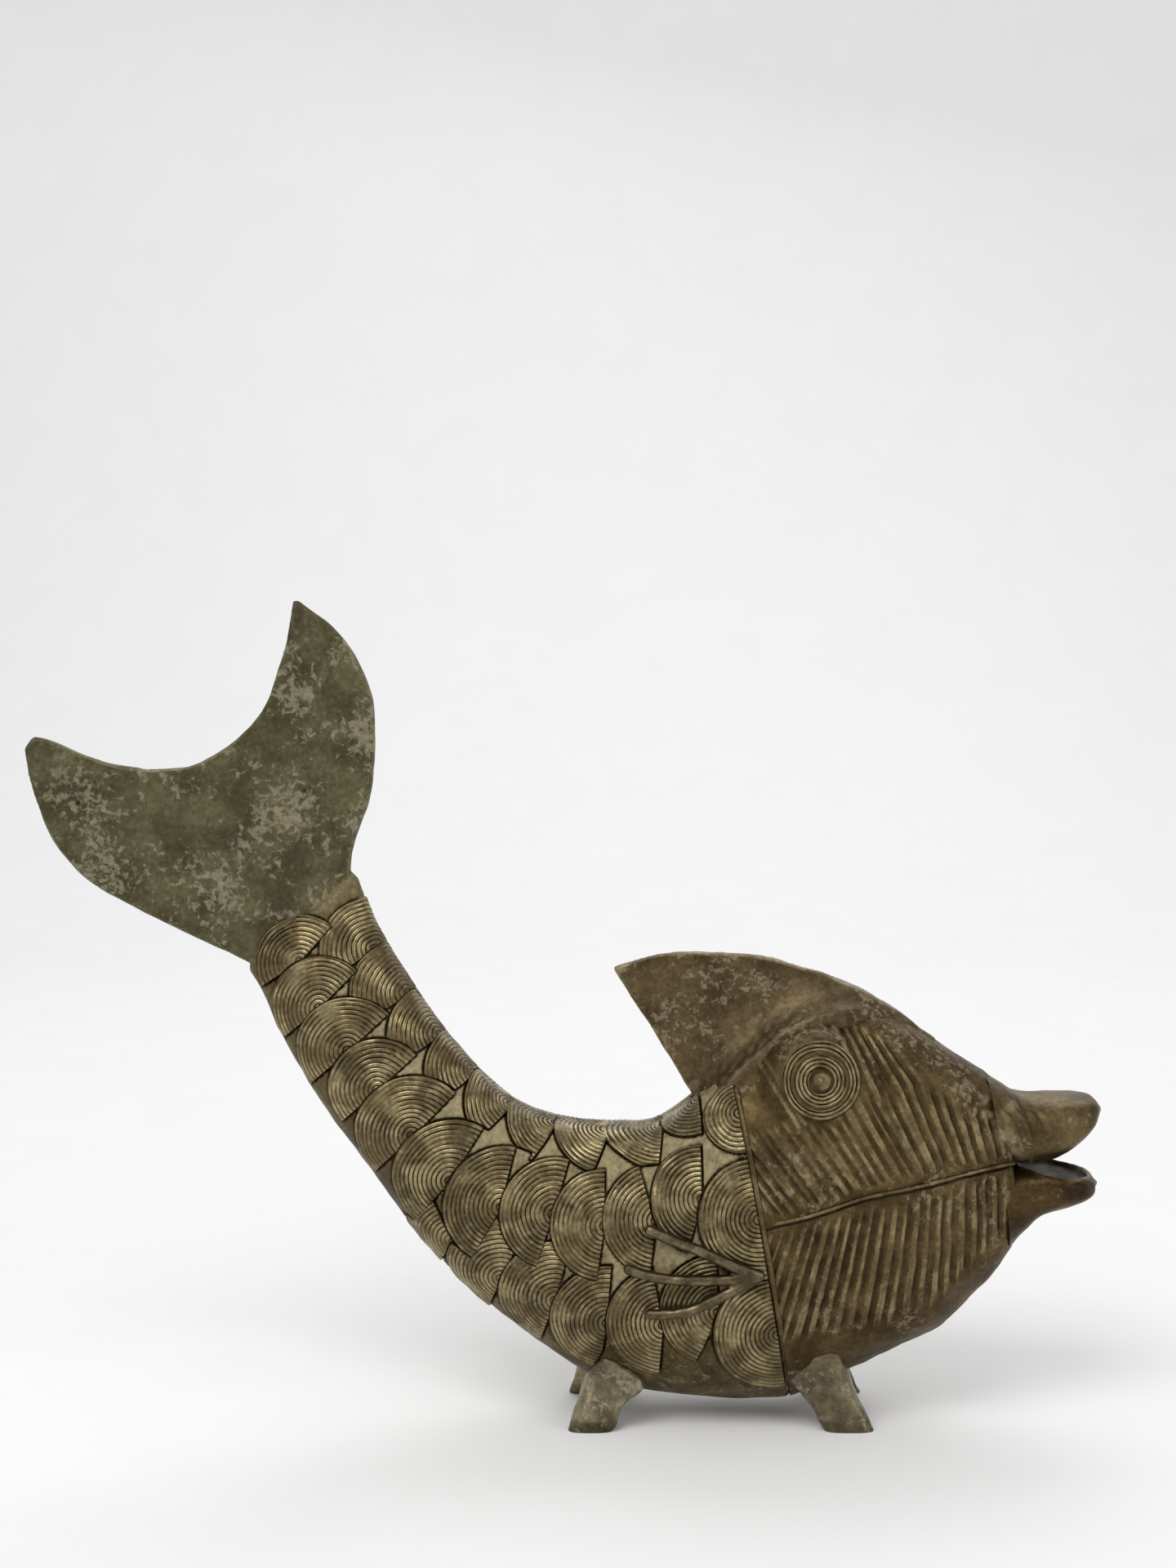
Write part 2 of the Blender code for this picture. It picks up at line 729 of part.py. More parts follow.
def under_leg(point):
    """Whether a leg lies over a point of the body."""
    for rows in (REAR_LEG, FRONT_LEG):
        if point.z < rows[-1][0] * mm + 2 * GAP:
            rear, front, _, _ = leg_row(rows, point.z)
            if rear - 2 * GAP < point.x < front + 2 * GAP:
                return True
    return False


def blocked(along, point):
    """Whether a point is taken by a leg, the crest or a scale that is already laid."""
    if under_leg(point):
        return True
    over = point.z > section(along)[0].z
    if along > HEEL - 2 * GAP and over and abs(point.y) < CREST_THICKNESS / 2 + 2 * GAP:
        return True
    for centre, tailward, radius in LAID:
        if centre.y * point.y < 0:
            continue
        away = point - centre
        if away.length < radius + SCALE_GAP and away.dot(tailward) > -SCALE_GAP:
            return True
    return False


def shifted(start, rise, side, turn, far):
    """Place on the body at a real distance from another, in a direction where 0 is up."""
    back = math.sin(turn) * far
    up = math.cos(turn) * far
    scale, slant = stretch(start - back / 2, rise + up / 2, side)
    return start - back / scale, rise + up + slant * back / scale


def reach(start, rise, side, turn, limit):
    """How far a scale can go from its centre in one direction before something is in the way."""
    steps = 16
    for k in range(1, steps + 1):
        along, height = shifted(start, rise, side, turn, limit * k / steps)
        if along < GAP or blocked(along, skin_point(along, height, side)):
            return limit * (k - 1) / steps
    return limit


def bent_sheet(name, columns, rows, place, side):
    """Plate as thick as a scale, from a grid that place() lays on the body."""
    bm = bmesh.new()
    along_layer = bm.verts.layers.float.new("along")
    rise_layer = bm.verts.layers.float.new("rise")
    bmesh.ops.create_grid(bm, x_segments=columns, y_segments=rows, size=0.5)
    for vert in bm.verts:
        along, rise = place(vert.co.x + 0.5, vert.co.y + 0.5)
        vert[along_layer] = along
        vert[rise_layer] = rise
        vert.co = lifted(along, rise, side, SCALE_SEAT)
    bmesh.ops.remove_doubles(bm, verts=bm.verts, dist=0.01 * mm)
    raised = bmesh.ops.extrude_face_region(bm, geom=list(bm.faces), use_keep_orig=True)["geom"]
    for vert in raised:
        if isinstance(vert, bmesh.types.BMVert):
            vert.co = lifted(vert[along_layer], vert[rise_layer], side, SCALE_SEAT + SCALE_THICKNESS)
    finish_mesh(bm, name, "scale")


def free_turn(start, rise, side, radius, turn, step):
    """First direction from an end of the straight edge in which a scale isn't stopped at once."""
    for k in range(CORNER_TRIES):
        if reach(start, rise, side, turn + step * k, radius) > radius / 2:
            return turn + step * k
    return turn


def lay_scale(name, start, rise, radius, side, spread):
    """One half disc, bent round the body and stopped by what is already there."""
    first = free_turn(start, rise, side, radius, 0.0, CORNER_STEP)
    last = free_turn(start, rise, side, radius, math.pi, -CORNER_STEP)
    turns = spaced(first, last, spread + 1)
    limits = [reach(start, rise, side, turn, radius) for turn in turns]

    def place(share, sweep):
        turn = first + (last - first) * sweep
        far = share * float(np.interp(turn, turns, limits))
        return shifted(start, rise, side, turn, far)

    narrow = section(start - radius / 2)[3] * FACET_SHARE
    rings = math.ceil(radius / min(LONG_FACET, max(SHORT_FACET, narrow)))
    bent_sheet(name, rings, spread, place, side)


def remember(start, rise, radius, side):
    """Note the place of a laid scale, so that later ones stop at it."""
    centre = skin_point(start, rise, side)
    tailward = (skin_point(start - mm, rise, side) - centre).normalized()
    LAID.append((centre, tailward, radius))


def next_start(start, radius, rise, next_rise):
    """Where the next scale towards the tail starts: its centre touches the edge of this one."""
    centre = skin_point(start, rise(start), RIGHT)
    clear = radius + 1.5 * SCALE_GAP
    step = 0.1 * mm
    along = start
    while along > step and (skin_point(along, next_rise(along), RIGHT) - centre).length < clear:
        along -= step
    return along


def row_starts(first, row):
    """Distance along the body of each scale of a row of radii and rises, from the head on."""
    starts = [first]
    for (radius, rise), (_, after) in zip(row, row[1:]):
        starts.append(next_start(starts[-1], radius, lambda _: rise, lambda _: after))
    return starts


def make_flank_scales():
    """The large row along the middle of each flank, and one scale over it behind the head."""
    first = GILL - THREAD_DIAMETER / 2 - 2 * GAP
    starts = row_starts(first, FLANK_ROW)
    for word, side in SIDES.items():
        for number, (start, (radius, rise)) in enumerate(zip(starts, FLANK_ROW), 1):
            lay_scale(f"{word}_flank_scale_{number:02d}", start, rise, radius, side, FLANK_SPREAD)
            remember(start, rise, radius, side)
        lay_scale(word + "_nape_scale", first, NAPE_RISE, NAPE_RADIUS, side, FLANK_SPREAD)
        remember(first, NAPE_RISE, NAPE_RADIUS, side)


def make_back_scales():
    """The row astride the back, from the heel of the crest to the tail."""
    start = HEEL - 4 * GAP
    for number, radius in enumerate(BACK_ROW, 1):
        rise = back_rise(start)
        lay_scale(f"back_scale_{number:02d}", start, rise, radius, RIGHT, BACK_SPREAD)
        remember(start, rise, radius, RIGHT)
        start = next_start(start, radius, back_rise, back_rise)


def make_belly_scales():
    """The row along each side of the belly, a strip whose edges are notched between its scales."""
    starts = row_starts(GILL - THREAD_DIAMETER / 2 - 2 * GAP, BELLY_ROW)
    for word, side in SIDES.items():
        stations = []
        for start, (radius, rise) in zip(starts, BELLY_ROW):
            length = radius / stretch(start - radius / 2, rise, side)[0] - BELLY_NOTCH_LENGTH
            for share in BELLY_STATIONS:
                along = start - length * (1 - share)
                half = radius * max(BELLY_NOTCH_WIDTH, math.sqrt(1 - (1 - share) ** 2))
                around = (along - BELLY_LOOK, along, along + BELLY_LOOK)
                lower = rise - min(reach(place, rise, side, math.pi, half) for place in around)
                upper = rise + min(reach(place, rise, side, 0.0, half) for place in around)
                stations.append((along, lower, upper))
        fine = stations[:1]
        for here, there in zip(stations, stations[1:]):
            count = math.ceil(max(abs(b - a) for a, b in zip(here, there)) / LONG_FACET)
            for k in range(1, count + 1):
                fine.append(tuple(a + (b - a) * k / count for a, b in zip(here, there)))

        def place(share, sweep):
            along, lower, upper = fine[round(share * (len(fine) - 1))]
            return along, lower + (upper - lower) * sweep

        bent_sheet(word + "_belly_scales", len(fine) - 1, BELLY_ROWS, place, side)


def main():
    clear_scene()
    clearance = make_clearance()
    make_trunk()
    make_head()
    make_core()
    make_tail()
    make_crest(clearance)
    make_lips()
    make_eyes(clearance)
    make_threads()
    make_pectoral_fins()
    make_legs(clearance)
    make_flank_scales()
    make_back_scales()
    make_belly_scales()


main()
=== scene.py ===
"""Looks of a cast brass fish figurine, made in wax threads and cast by the lost-wax method.

The frame's solids give every place and size. Each visible piece is modelled again here with its
coils, grooves, lumps and worn edges, and takes the frame piece's place.
"""
import math

import bmesh
import bpy
import numpy as np
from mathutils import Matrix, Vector
from mathutils.kdtree import KDTree


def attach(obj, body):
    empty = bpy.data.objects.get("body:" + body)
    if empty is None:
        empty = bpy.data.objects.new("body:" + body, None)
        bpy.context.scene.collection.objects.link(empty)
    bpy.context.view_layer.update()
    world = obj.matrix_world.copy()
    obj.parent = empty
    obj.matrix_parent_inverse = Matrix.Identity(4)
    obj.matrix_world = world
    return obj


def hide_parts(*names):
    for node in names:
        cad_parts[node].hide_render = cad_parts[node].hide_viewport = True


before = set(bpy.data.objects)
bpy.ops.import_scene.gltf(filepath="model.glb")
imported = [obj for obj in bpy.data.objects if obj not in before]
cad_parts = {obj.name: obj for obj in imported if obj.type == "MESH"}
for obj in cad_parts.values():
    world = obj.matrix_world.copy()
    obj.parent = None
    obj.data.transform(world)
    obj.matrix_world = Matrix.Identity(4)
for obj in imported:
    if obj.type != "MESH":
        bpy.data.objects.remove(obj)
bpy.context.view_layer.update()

mm = 0.001
RIGHT = -1
LEFT = 1
SIDES = {"right": RIGHT, "left": LEFT}

# Cross sections of the body from the tail root to the mouth, in millimetres and degrees:
# centre x, centre z, lean of the section, half height, half width
BODY_SECTIONS = [
    (-75.0, 141.5, 42.5, 19.3, 2.6),
    (-70.0, 130.5, 36.0, 17.5, 6.0),
    (-64.8, 120.0, 33.0, 17.8, 9.0),
    (-53.0, 100.5, 30.0, 18.5, 12.5),
    (-36.8, 80.4, 34.0, 19.6, 15.5),
    (-26.4, 70.1, 41.5, 22.1, 17.0),
    (-13.0, 60.5, 53.5, 26.2, 19.0),
    (2.4, 52.9, 65.0, 30.9, 21.0),
    (17.4, 47.1, 76.5, 35.7, 22.5),
    (34.6, 48.0, 88.0, 40.6, 24.0),
    (55.0, 53.2, 100.0, 46.8, 25.0),
    (70.0, 62.4, 100.0, 49.9, 26.0),
    (84.4, 68.0, 99.5, 49.2, 25.5),
    (96.9, 70.0, 99.5, 45.4, 23.5),
    (107.9, 70.9, 99.5, 37.1, 20.5),
    (116.9, 71.4, 99.0, 29.4, 17.0),
    (123.9, 73.0, 97.5, 22.3, 14.5),
]
GILL_SECTION = 10
SQUARENESS = 2.5

# Wax threads: their pitch in a coil, and how deep the groove between two of them is
THREAD_PITCH = 1.27 * mm
GROOVE_DEPTH = 0.5 * mm

# Scales: height of their top over the skin, the gap between neighbours, and how far they root
SCALE_TOP = 1.85 * mm
SCALE_GAP = 0.14 * mm
SCALE_ROOT = -0.6 * mm
# How far a scale's middle lies inside the round edge of the one before it, which covers it
SCALE_LAP = 0.55 * mm
# Rows from the gill to the tail, in millimetres and degrees: radius, rise over the middle of the
# flank, and how far the straight edge is turned
FLANK_ROW = [
    (16.6, 8.7, 0), (14.4, 17.9, 0), (14.8, 13.7, 3), (15.0, 8.6, 12), (14.9, 5.4, 13),
    (16.4, -0.4, 10), (16.6, -3.6, 10), (16.4, -3.2, 12), (14.0, -2.7, 12), (14.8, -3.6, 12),
    (14.4, -4.8, 12), (13.3, -4.4, 12),
]
BELLY_ROW = [
    (18.0, -24.0, 0), (16.0, -13.5, 0), (15.8, -15.3, 2), (16.0, -16.2, 6), (16.4, -16.0, 10),
    (17.0, -17.5, 10), (16.5, -16.5, 10),
]
# Radii of the back row, which starts in front of the crest's heel with its middles below the ridge
BACK_ROW = np.array([13.5, 16.2, 15.8, 14.6, 14.6, 15.0, 15.2, 16.0, 15.0]) * mm
BACK_START = 2.5 * mm
BACK_DROP = 5.5 * mm
NAPE_RADIUS = 10.6 * mm
NAPE_RISE = 37.5 * mm
# A direction in which a scale would begin later than this stays empty
LATEST_BEGIN = 6.0 * mm
# Directions of a scale from its middle, and places that are tried along each of them
SCALE_TURNS = 88
SCALE_TRIES = 120
# Relief of a scale's walls, low so that they are painted dark as shade
WALL_RELIEF = 0.27
# How far behind the gill the straight edges of the first scales stand
FIRST_EDGE = 1.35 * mm
# How far the last scales reach over the root of the tail fin
OVER_FIN = 9.0 * mm

ROWS = np.array(BODY_SECTIONS) * (mm, mm, 1.0, mm, mm)
LENGTHS = np.concatenate([[0.0], np.cumsum(np.hypot(*np.diff(ROWS[:, :2], axis=0).T))])
GILL = LENGTHS[GILL_SECTION]
MOUTH = LENGTHS[-1]


# Shared helpers

def curve_between(t, start, leave, finish, arrive):
    """Smooth curve between two values with a slope at each."""
    value = (2 * t**3 - 3 * t**2 + 1) * start + (t**3 - 2 * t**2 + t) * leave
    return value + (3 * t**2 - 2 * t**3) * finish + (t**3 - t**2) * arrive


def squared(value, squareness):
    """Sine or cosine for an ellipse with squarer shoulders."""
    return np.sign(value) * np.abs(value) ** (2 / squareness)


def unit(vectors):
    """Directions of vectors."""
    return vectors / np.maximum(np.linalg.norm(vectors, axis=-1, keepdims=True), 1e-12)


def slanting(degrees):
    """Direction at an angle from level, as x and z."""
    angle = math.radians(degrees)
    return np.array([math.cos(angle), math.sin(angle)])


def lengthened(values, count):
    """Rows with the first and the last one repeated at the ends."""
    return np.pad(values, ((count, count), (0, 0)), mode="edge")


def ease(low, high, value):
    """Smooth step from 0 at low to 1 at high."""
    t = np.clip((value - low) / (high - low), 0, 1)
    return t * t * (3 - 2 * t)


def lumps(points, size, seed):
    """Gentle unevenness of a hand-made surface, between about -1 and 1, at a size in metres."""
    rng = np.random.default_rng(seed)
    total = np.zeros(points.shape[:-1])
    for _ in range(9):
        wave = rng.normal(size=3)
        wave *= 2 * math.pi / (size * rng.uniform(0.7, 1.6)) / np.linalg.norm(wave)
        total += np.sin(points @ wave + rng.uniform(0, 2 * math.pi))
    return total / 4


def near_stroke(x, z, x0, z0, x1, z1):
    """Distance from points to a straight stroke, and the share of its length beside them."""
    length = math.hypot(x1 - x0, z1 - z0)
    share = np.clip(((x - x0) * (x1 - x0) + (z - z0) * (z1 - z0)) / length**2, 0, 1)
    return np.hypot(x - x0 - share * (x1 - x0), z - z0 - share * (z1 - z0)), share


# Body surface, in numpy arrays: along runs from the tail root to the mouth, and rise is the
# length over the skin from the middle of the flank, up to the back or down to the belly

def section_slopes():
    """Slope of every section value where a section stands."""
    last = len(LENGTHS) - 1
    before = np.maximum(np.arange(last + 1) - 1, 0)
    after = np.minimum(np.arange(last + 1) + 1, last)
    return (ROWS[after] - ROWS[before]) / (LENGTHS[after] - LENGTHS[before])[:, None]


SLOPES = section_slopes()


def sections(along):
    """Centre x and z, lean, half height and half width of the body at distances along it."""
    past = np.minimum(along, 0.0)
    along = np.clip(along, 0.0, MOUTH)
    k = np.clip(np.searchsorted(LENGTHS, along, side="right") - 1, 0, len(LENGTHS) - 2)
    span = (LENGTHS[k + 1] - LENGTHS[k])[..., None]
    t = (along - LENGTHS[k])[..., None] / span
    values = curve_between(t, ROWS[k], span * SLOPES[k], ROWS[k + 1], span * SLOPES[k + 1])
    # Less than 0 goes straight on over the tail fin
    values[..., :2] += past[..., None] * SLOPES[0, :2]
    return np.moveaxis(values, -1, 0)


STATIONS = np.linspace(0, MOUTH, 500)
SHARES = np.linspace(0, 1, 161)


def quarter_tables():
    """Length of a quarter of the section at each station, and its angle at each share of it."""
    _, _, _, half_height, half_width = sections(STATIONS)
    angles = np.linspace(0, math.pi / 2, 241)
    across = half_width[:, None] * np.cos(angles) ** (2 / SQUARENESS)
    over = half_height[:, None] * np.sin(angles) ** (2 / SQUARENESS)
    steps = np.hypot(np.diff(across, axis=1), np.diff(over, axis=1))
    sums = np.concatenate([np.zeros((len(STATIONS), 1)), np.cumsum(steps, axis=1)], axis=1)
    table = np.array([np.interp(SHARES, row / row[-1], angles) for row in sums])
    return sums[:, -1], table


QUARTERS, ANGLES = quarter_tables()


def quarter(along):
    """Length over the skin from the middle of the flank to the ridge of the back."""
    return np.interp(along, STATIONS, QUARTERS)


def skin(along, rise, side):
    """Points of the body surface. A rise past the back or the belly goes on down the other side."""
    along, rise = np.broadcast_arrays(along, rise)
    x, z, lean, half_height, half_width = sections(along)
    share = np.abs(rise) / quarter(along)
    side = np.where(share > 1, -side, side)
    share = np.where(share > 1, 2 - share, share)
    row = np.clip(along / MOUTH, 0, 1) * (len(STATIONS) - 1)
    column = np.clip(share, 0, 1) * (len(SHARES) - 1)
    i = np.minimum(row.astype(int), len(STATIONS) - 2)
    j = np.minimum(column.astype(int), len(SHARES) - 2)
    u = row - i
    v = column - j
    angle = (ANGLES[i, j] * (1 - v) + ANGLES[i, j + 1] * v) * (1 - u)
    angle += (ANGLES[i + 1, j] * (1 - v) + ANGLES[i + 1, j + 1] * v) * u
    over = half_height * squared(np.sin(angle), SQUARENESS) * np.sign(rise)
    across = half_width * squared(np.cos(angle), SQUARENESS)
    lean = np.radians(lean)
    return np.stack([x + np.cos(lean) * over, side * across, z + np.sin(lean) * over], axis=-1)


def skin_normal(along, rise, side):
    """Outward directions of the body surface."""
    step = 0.25 * mm
    forward = skin(along + step, rise, side) - skin(along - step, rise, side)
    upward = skin(along, rise + step, side) - skin(along, rise - step, side)
    normal = unit(np.cross(forward, upward))
    x, z, *_ = sections(np.broadcast_arrays(along, rise)[0])
    out = skin(along, rise, side) - np.stack([x, 0 * x, z], axis=-1)
    return normal * np.sign(np.sum(normal * out, axis=-1, keepdims=True))


def lifted(along, rise, side, lift):
    """Points at a height over the body surface."""
    return skin(along, rise, side) + skin_normal(along, rise, side) * np.asarray(lift)[..., None]


def shifted(start, rise, side, turn, far):
    """Places on the body at a real distance from one place, in directions where 0 is up."""
    back = np.sin(turn) * far
    up = np.cos(turn) * far
    step = 0.5 * mm
    along = np.clip(start - back / 2, 2 * step, MOUTH - 2 * step)
    height = rise + up / 2
    forward = (skin(along + step, height, side) - skin(along - step, height, side)) / (2 * step)
    upward = unit(skin(along, height + step, side) - skin(along, height - step, side))
    slant = np.sum(forward * upward, axis=-1)
    scale = np.sqrt(np.sum(forward**2, axis=-1) - slant**2)
    return start - back / scale, rise + up + slant * back / scale


# Making a piece

# Points nearer than this become one, and an edge that bends more than this stays sharp
MERGE = 0.004 * mm
SHARP = math.radians(70)


def put_in_scene(name, data):
    """New object with its data, in the scene."""
    thing = bpy.data.objects.new(name, data)
    bpy.context.scene.collection.objects.link(thing)
    return thing


def make_piece(name, points, faces, finish, nodes, slot, **layers):
    """Closed mesh that faces out, with its surface values, in the place of the frame's nodes."""
    mesh = bpy.data.meshes.new(name)
    mesh.from_pydata(points.tolist(), [], faces)
    for layer, values in layers.items():
        mesh.attributes.new(layer, "FLOAT", "POINT").data.foreach_set("value", values.ravel())
    bm = bmesh.new()
    bm.from_mesh(mesh)
    bmesh.ops.remove_doubles(bm, verts=bm.verts, dist=MERGE)
    bmesh.ops.recalc_face_normals(bm, faces=bm.faces)
    bm.to_mesh(mesh)
    bm.free()
    mesh.shade_smooth()
    mesh.set_sharp_from_angle(angle=SHARP)
    piece = put_in_scene(name, mesh)
    mesh.materials.append(finish)
    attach(piece, "root")
    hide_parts(*nodes)


def ring_faces(rows, columns):
    """Faces of rings of points, capped at both ends round two points that follow the rings."""
    index = np.arange(rows * columns).reshape(rows, columns)
    beside = np.roll(index, -1, axis=1)
    faces = np.stack([index[:-1], beside[:-1], beside[1:], index[1:]], axis=-1)
    faces = faces.reshape(-1, 4).tolist()
    for cap, ring in ((rows * columns, 0), (rows * columns + 1, rows - 1)):
        faces += [[cap, a, b] for a, b in zip(index[ring].tolist(), beside[ring].tolist())]
    return faces


def capped(values):
    """Values of rings, followed by the mean of the first and of the last ring."""
    flat = values.reshape(-1, *values.shape[2:])
    return np.concatenate([flat, values[:1].mean(axis=1), values[-1:].mean(axis=1)])


def make_rings(name, rings, finish, nodes, slot, **layers):
    """Piece from rings of points."""
    rows, columns, _ = rings.shape
    layers = {layer: capped(values) for layer, values in layers.items()}
    make_piece(name, capped(rings), ring_faces(rows, columns), finish, nodes, slot, **layers)


# Rings in the rounded end of a thread
END_RINGS = 5


def tube_rings(path, radii, outward, sides=20):
    """Rings round a path with its own radius at each point, rounded off at both ends."""
    forward = unit(np.gradient(path, axis=0))
    aside = unit(np.cross(forward, outward))
    over = np.cross(aside, forward)
    bend = np.linspace(0.15, math.pi / 2, END_RINGS)
    swell = np.sin(bend)
    reach = 1 - np.cos(bend)
    path = np.concatenate([
        path[0] - forward[0] * radii[0] * (1 - reach[:, None]),
        path[1:-1],
        path[-1] + forward[-1] * radii[-1] * (1 - reach[::-1, None]),
    ])
    radii = np.concatenate([radii[0] * swell, radii[1:-1], radii[-1] * swell[::-1]])
    aside = lengthened(aside, END_RINGS - 1)
    over = lengthened(over, END_RINGS - 1)
    turn = np.linspace(0, 2 * math.pi, sides, endpoint=False)
    ring = aside[:, None] * np.cos(turn)[:, None] + over[:, None] * np.sin(turn)[:, None]
    return path[:, None] + ring * radii[:, None, None]


# Materials

def srgb(value):
    """Linear colour of an sRGB hex value."""
    parts = [int(value[i:i + 2], 16) / 255 for i in (1, 3, 5)]
    return [c / 12.92 if c <= 0.04045 else ((c + 0.055) / 1.055) ** 2.4 for c in parts] + [1.0]


def add(tree, kind, inputs=(), **settings):
    """Add a node with its settings, and set or link its inputs."""
    made = tree.nodes.new(kind)
    for name, value in settings.items():
        setattr(made, name, value)
    for socket, value in dict(inputs).items():
        if isinstance(value, bpy.types.NodeSocket):
            tree.links.new(value, made.inputs[socket])
        else:
            made.inputs[socket].default_value = value
    return made


def new_material(name):
    """Material with its node tree, its shader and the places on the object."""
    material = bpy.data.materials.new(name)
    material.use_nodes = True
    tree = material.node_tree
    place = add(tree, "ShaderNodeTexCoord").outputs["Object"]
    return material, tree, tree.nodes["Principled BSDF"], place


# Patterns of the old metal: real size, detail, distortion and roughness
PATTERNS = {
    "clouds": (12 * mm, 6, 0.0, 0.6),
    "handling": (7 * mm, 6, 0.0, 0.6),
    "areas": (20 * mm, 3, 0.0, 0.6),
    "flecks": (2.2 * mm, 9, 0.5, 0.7),
    "stains": (4 * mm, 7, 0.0, 0.6),
    "specks": (1.3 * mm, 6, 0.0, 0.6),
    "polish": (5 * mm, 4, 0.0, 0.6),
    "grain": (0.8 * mm, 4, 0.0, 0.6),
}
# Distance between pits of the casting skin
PIT_SPACING = 2.2 * mm
# What counts of a pattern, or of the relief, and the values that it becomes
SPAN_ENDS = ("From Min", "From Max", "To Min", "To Max")
SPANS = {
    "cloudy": ("clouds", 0.35, 0.65, 0.0, 1.0),
    "handled": ("handling", 0.42, 0.64, 0.2, 1.0),
    "ridges": ("relief", 0.6, 0.92, 0.0, 1.0),
    "open": ("relief", 0.2, 0.6, 0.2, 1.0),
    "grooves": ("relief", 0.0, 0.45, 0.85, 0.0),
    "thicker": ("areas", 0.3, 0.7, -0.1, 0.1),
    "held": ("stains", 0.3, 0.6, 0.45, 1.0),
    "speckled": ("specks", 0.32, 0.68, 0.78, 1.2),
    "uneven": ("polish", 0.3, 0.7, -0.06, 0.08),
    "dents": ("pits", 0.03, 0.16, 0.0, 0.5),
}
# Colour painted into grooves, creases, walls and other low relief as their shade
PAINTED_GROOVE_SHADE = "#17120b"
# Noise value at which flecks begin without residue, how far residue lowers it, and how soft they end
FLECK_START = 0.66
FLECK_GAIN = 0.16
FLECK_EDGE = 0.09
# How far a fleck of residue hides the colour under it
RESIDUE_COVER = 0.55
# Metallic value where the brass is bare, and where residue covers it
BARE_METAL = 0.82
COVERED_METAL = 0.25
# How much smoother a rubbed ridge is, and how much rougher residue is
RUBBED_GAIN = 0.1
RESIDUE_GAIN = 0.2
# Heights of the grain and of the residue in the bump
GRAIN_HEIGHT = 0.6
RESIDUE_HEIGHT = 0.35


def brass_patterns(tree, place):
    """Patterns of the old metal and layers of the mesh, as they are and as what they become."""
    pits = add(tree, "ShaderNodeTexVoronoi", {"Vector": place, "Scale": 1 / PIT_SPACING})
    raw = {"pits": pits.outputs["Distance"]}
    for layer in ("relief", "patch"):
        raw[layer] = add(tree, "ShaderNodeAttribute", attribute_name=layer).outputs["Fac"]
    for pattern, (size, detail, distortion, rough) in PATTERNS.items():
        inputs = {"Vector": place, "Scale": 1 / size, "Detail": detail,
                  "Distortion": distortion, "Roughness": rough}
        raw[pattern] = add(tree, "ShaderNodeTexNoise", inputs).outputs["Fac"]
    part = {}
    for word, (source, *span) in SPANS.items():
        inputs = {"Value": raw[source], **dict(zip(SPAN_ENDS, span))}
        ramp = add(tree, "ShaderNodeMapRange", inputs, interpolation_type="SMOOTHSTEP")
        part[word] = ramp.outputs["Result"]
    return raw, part


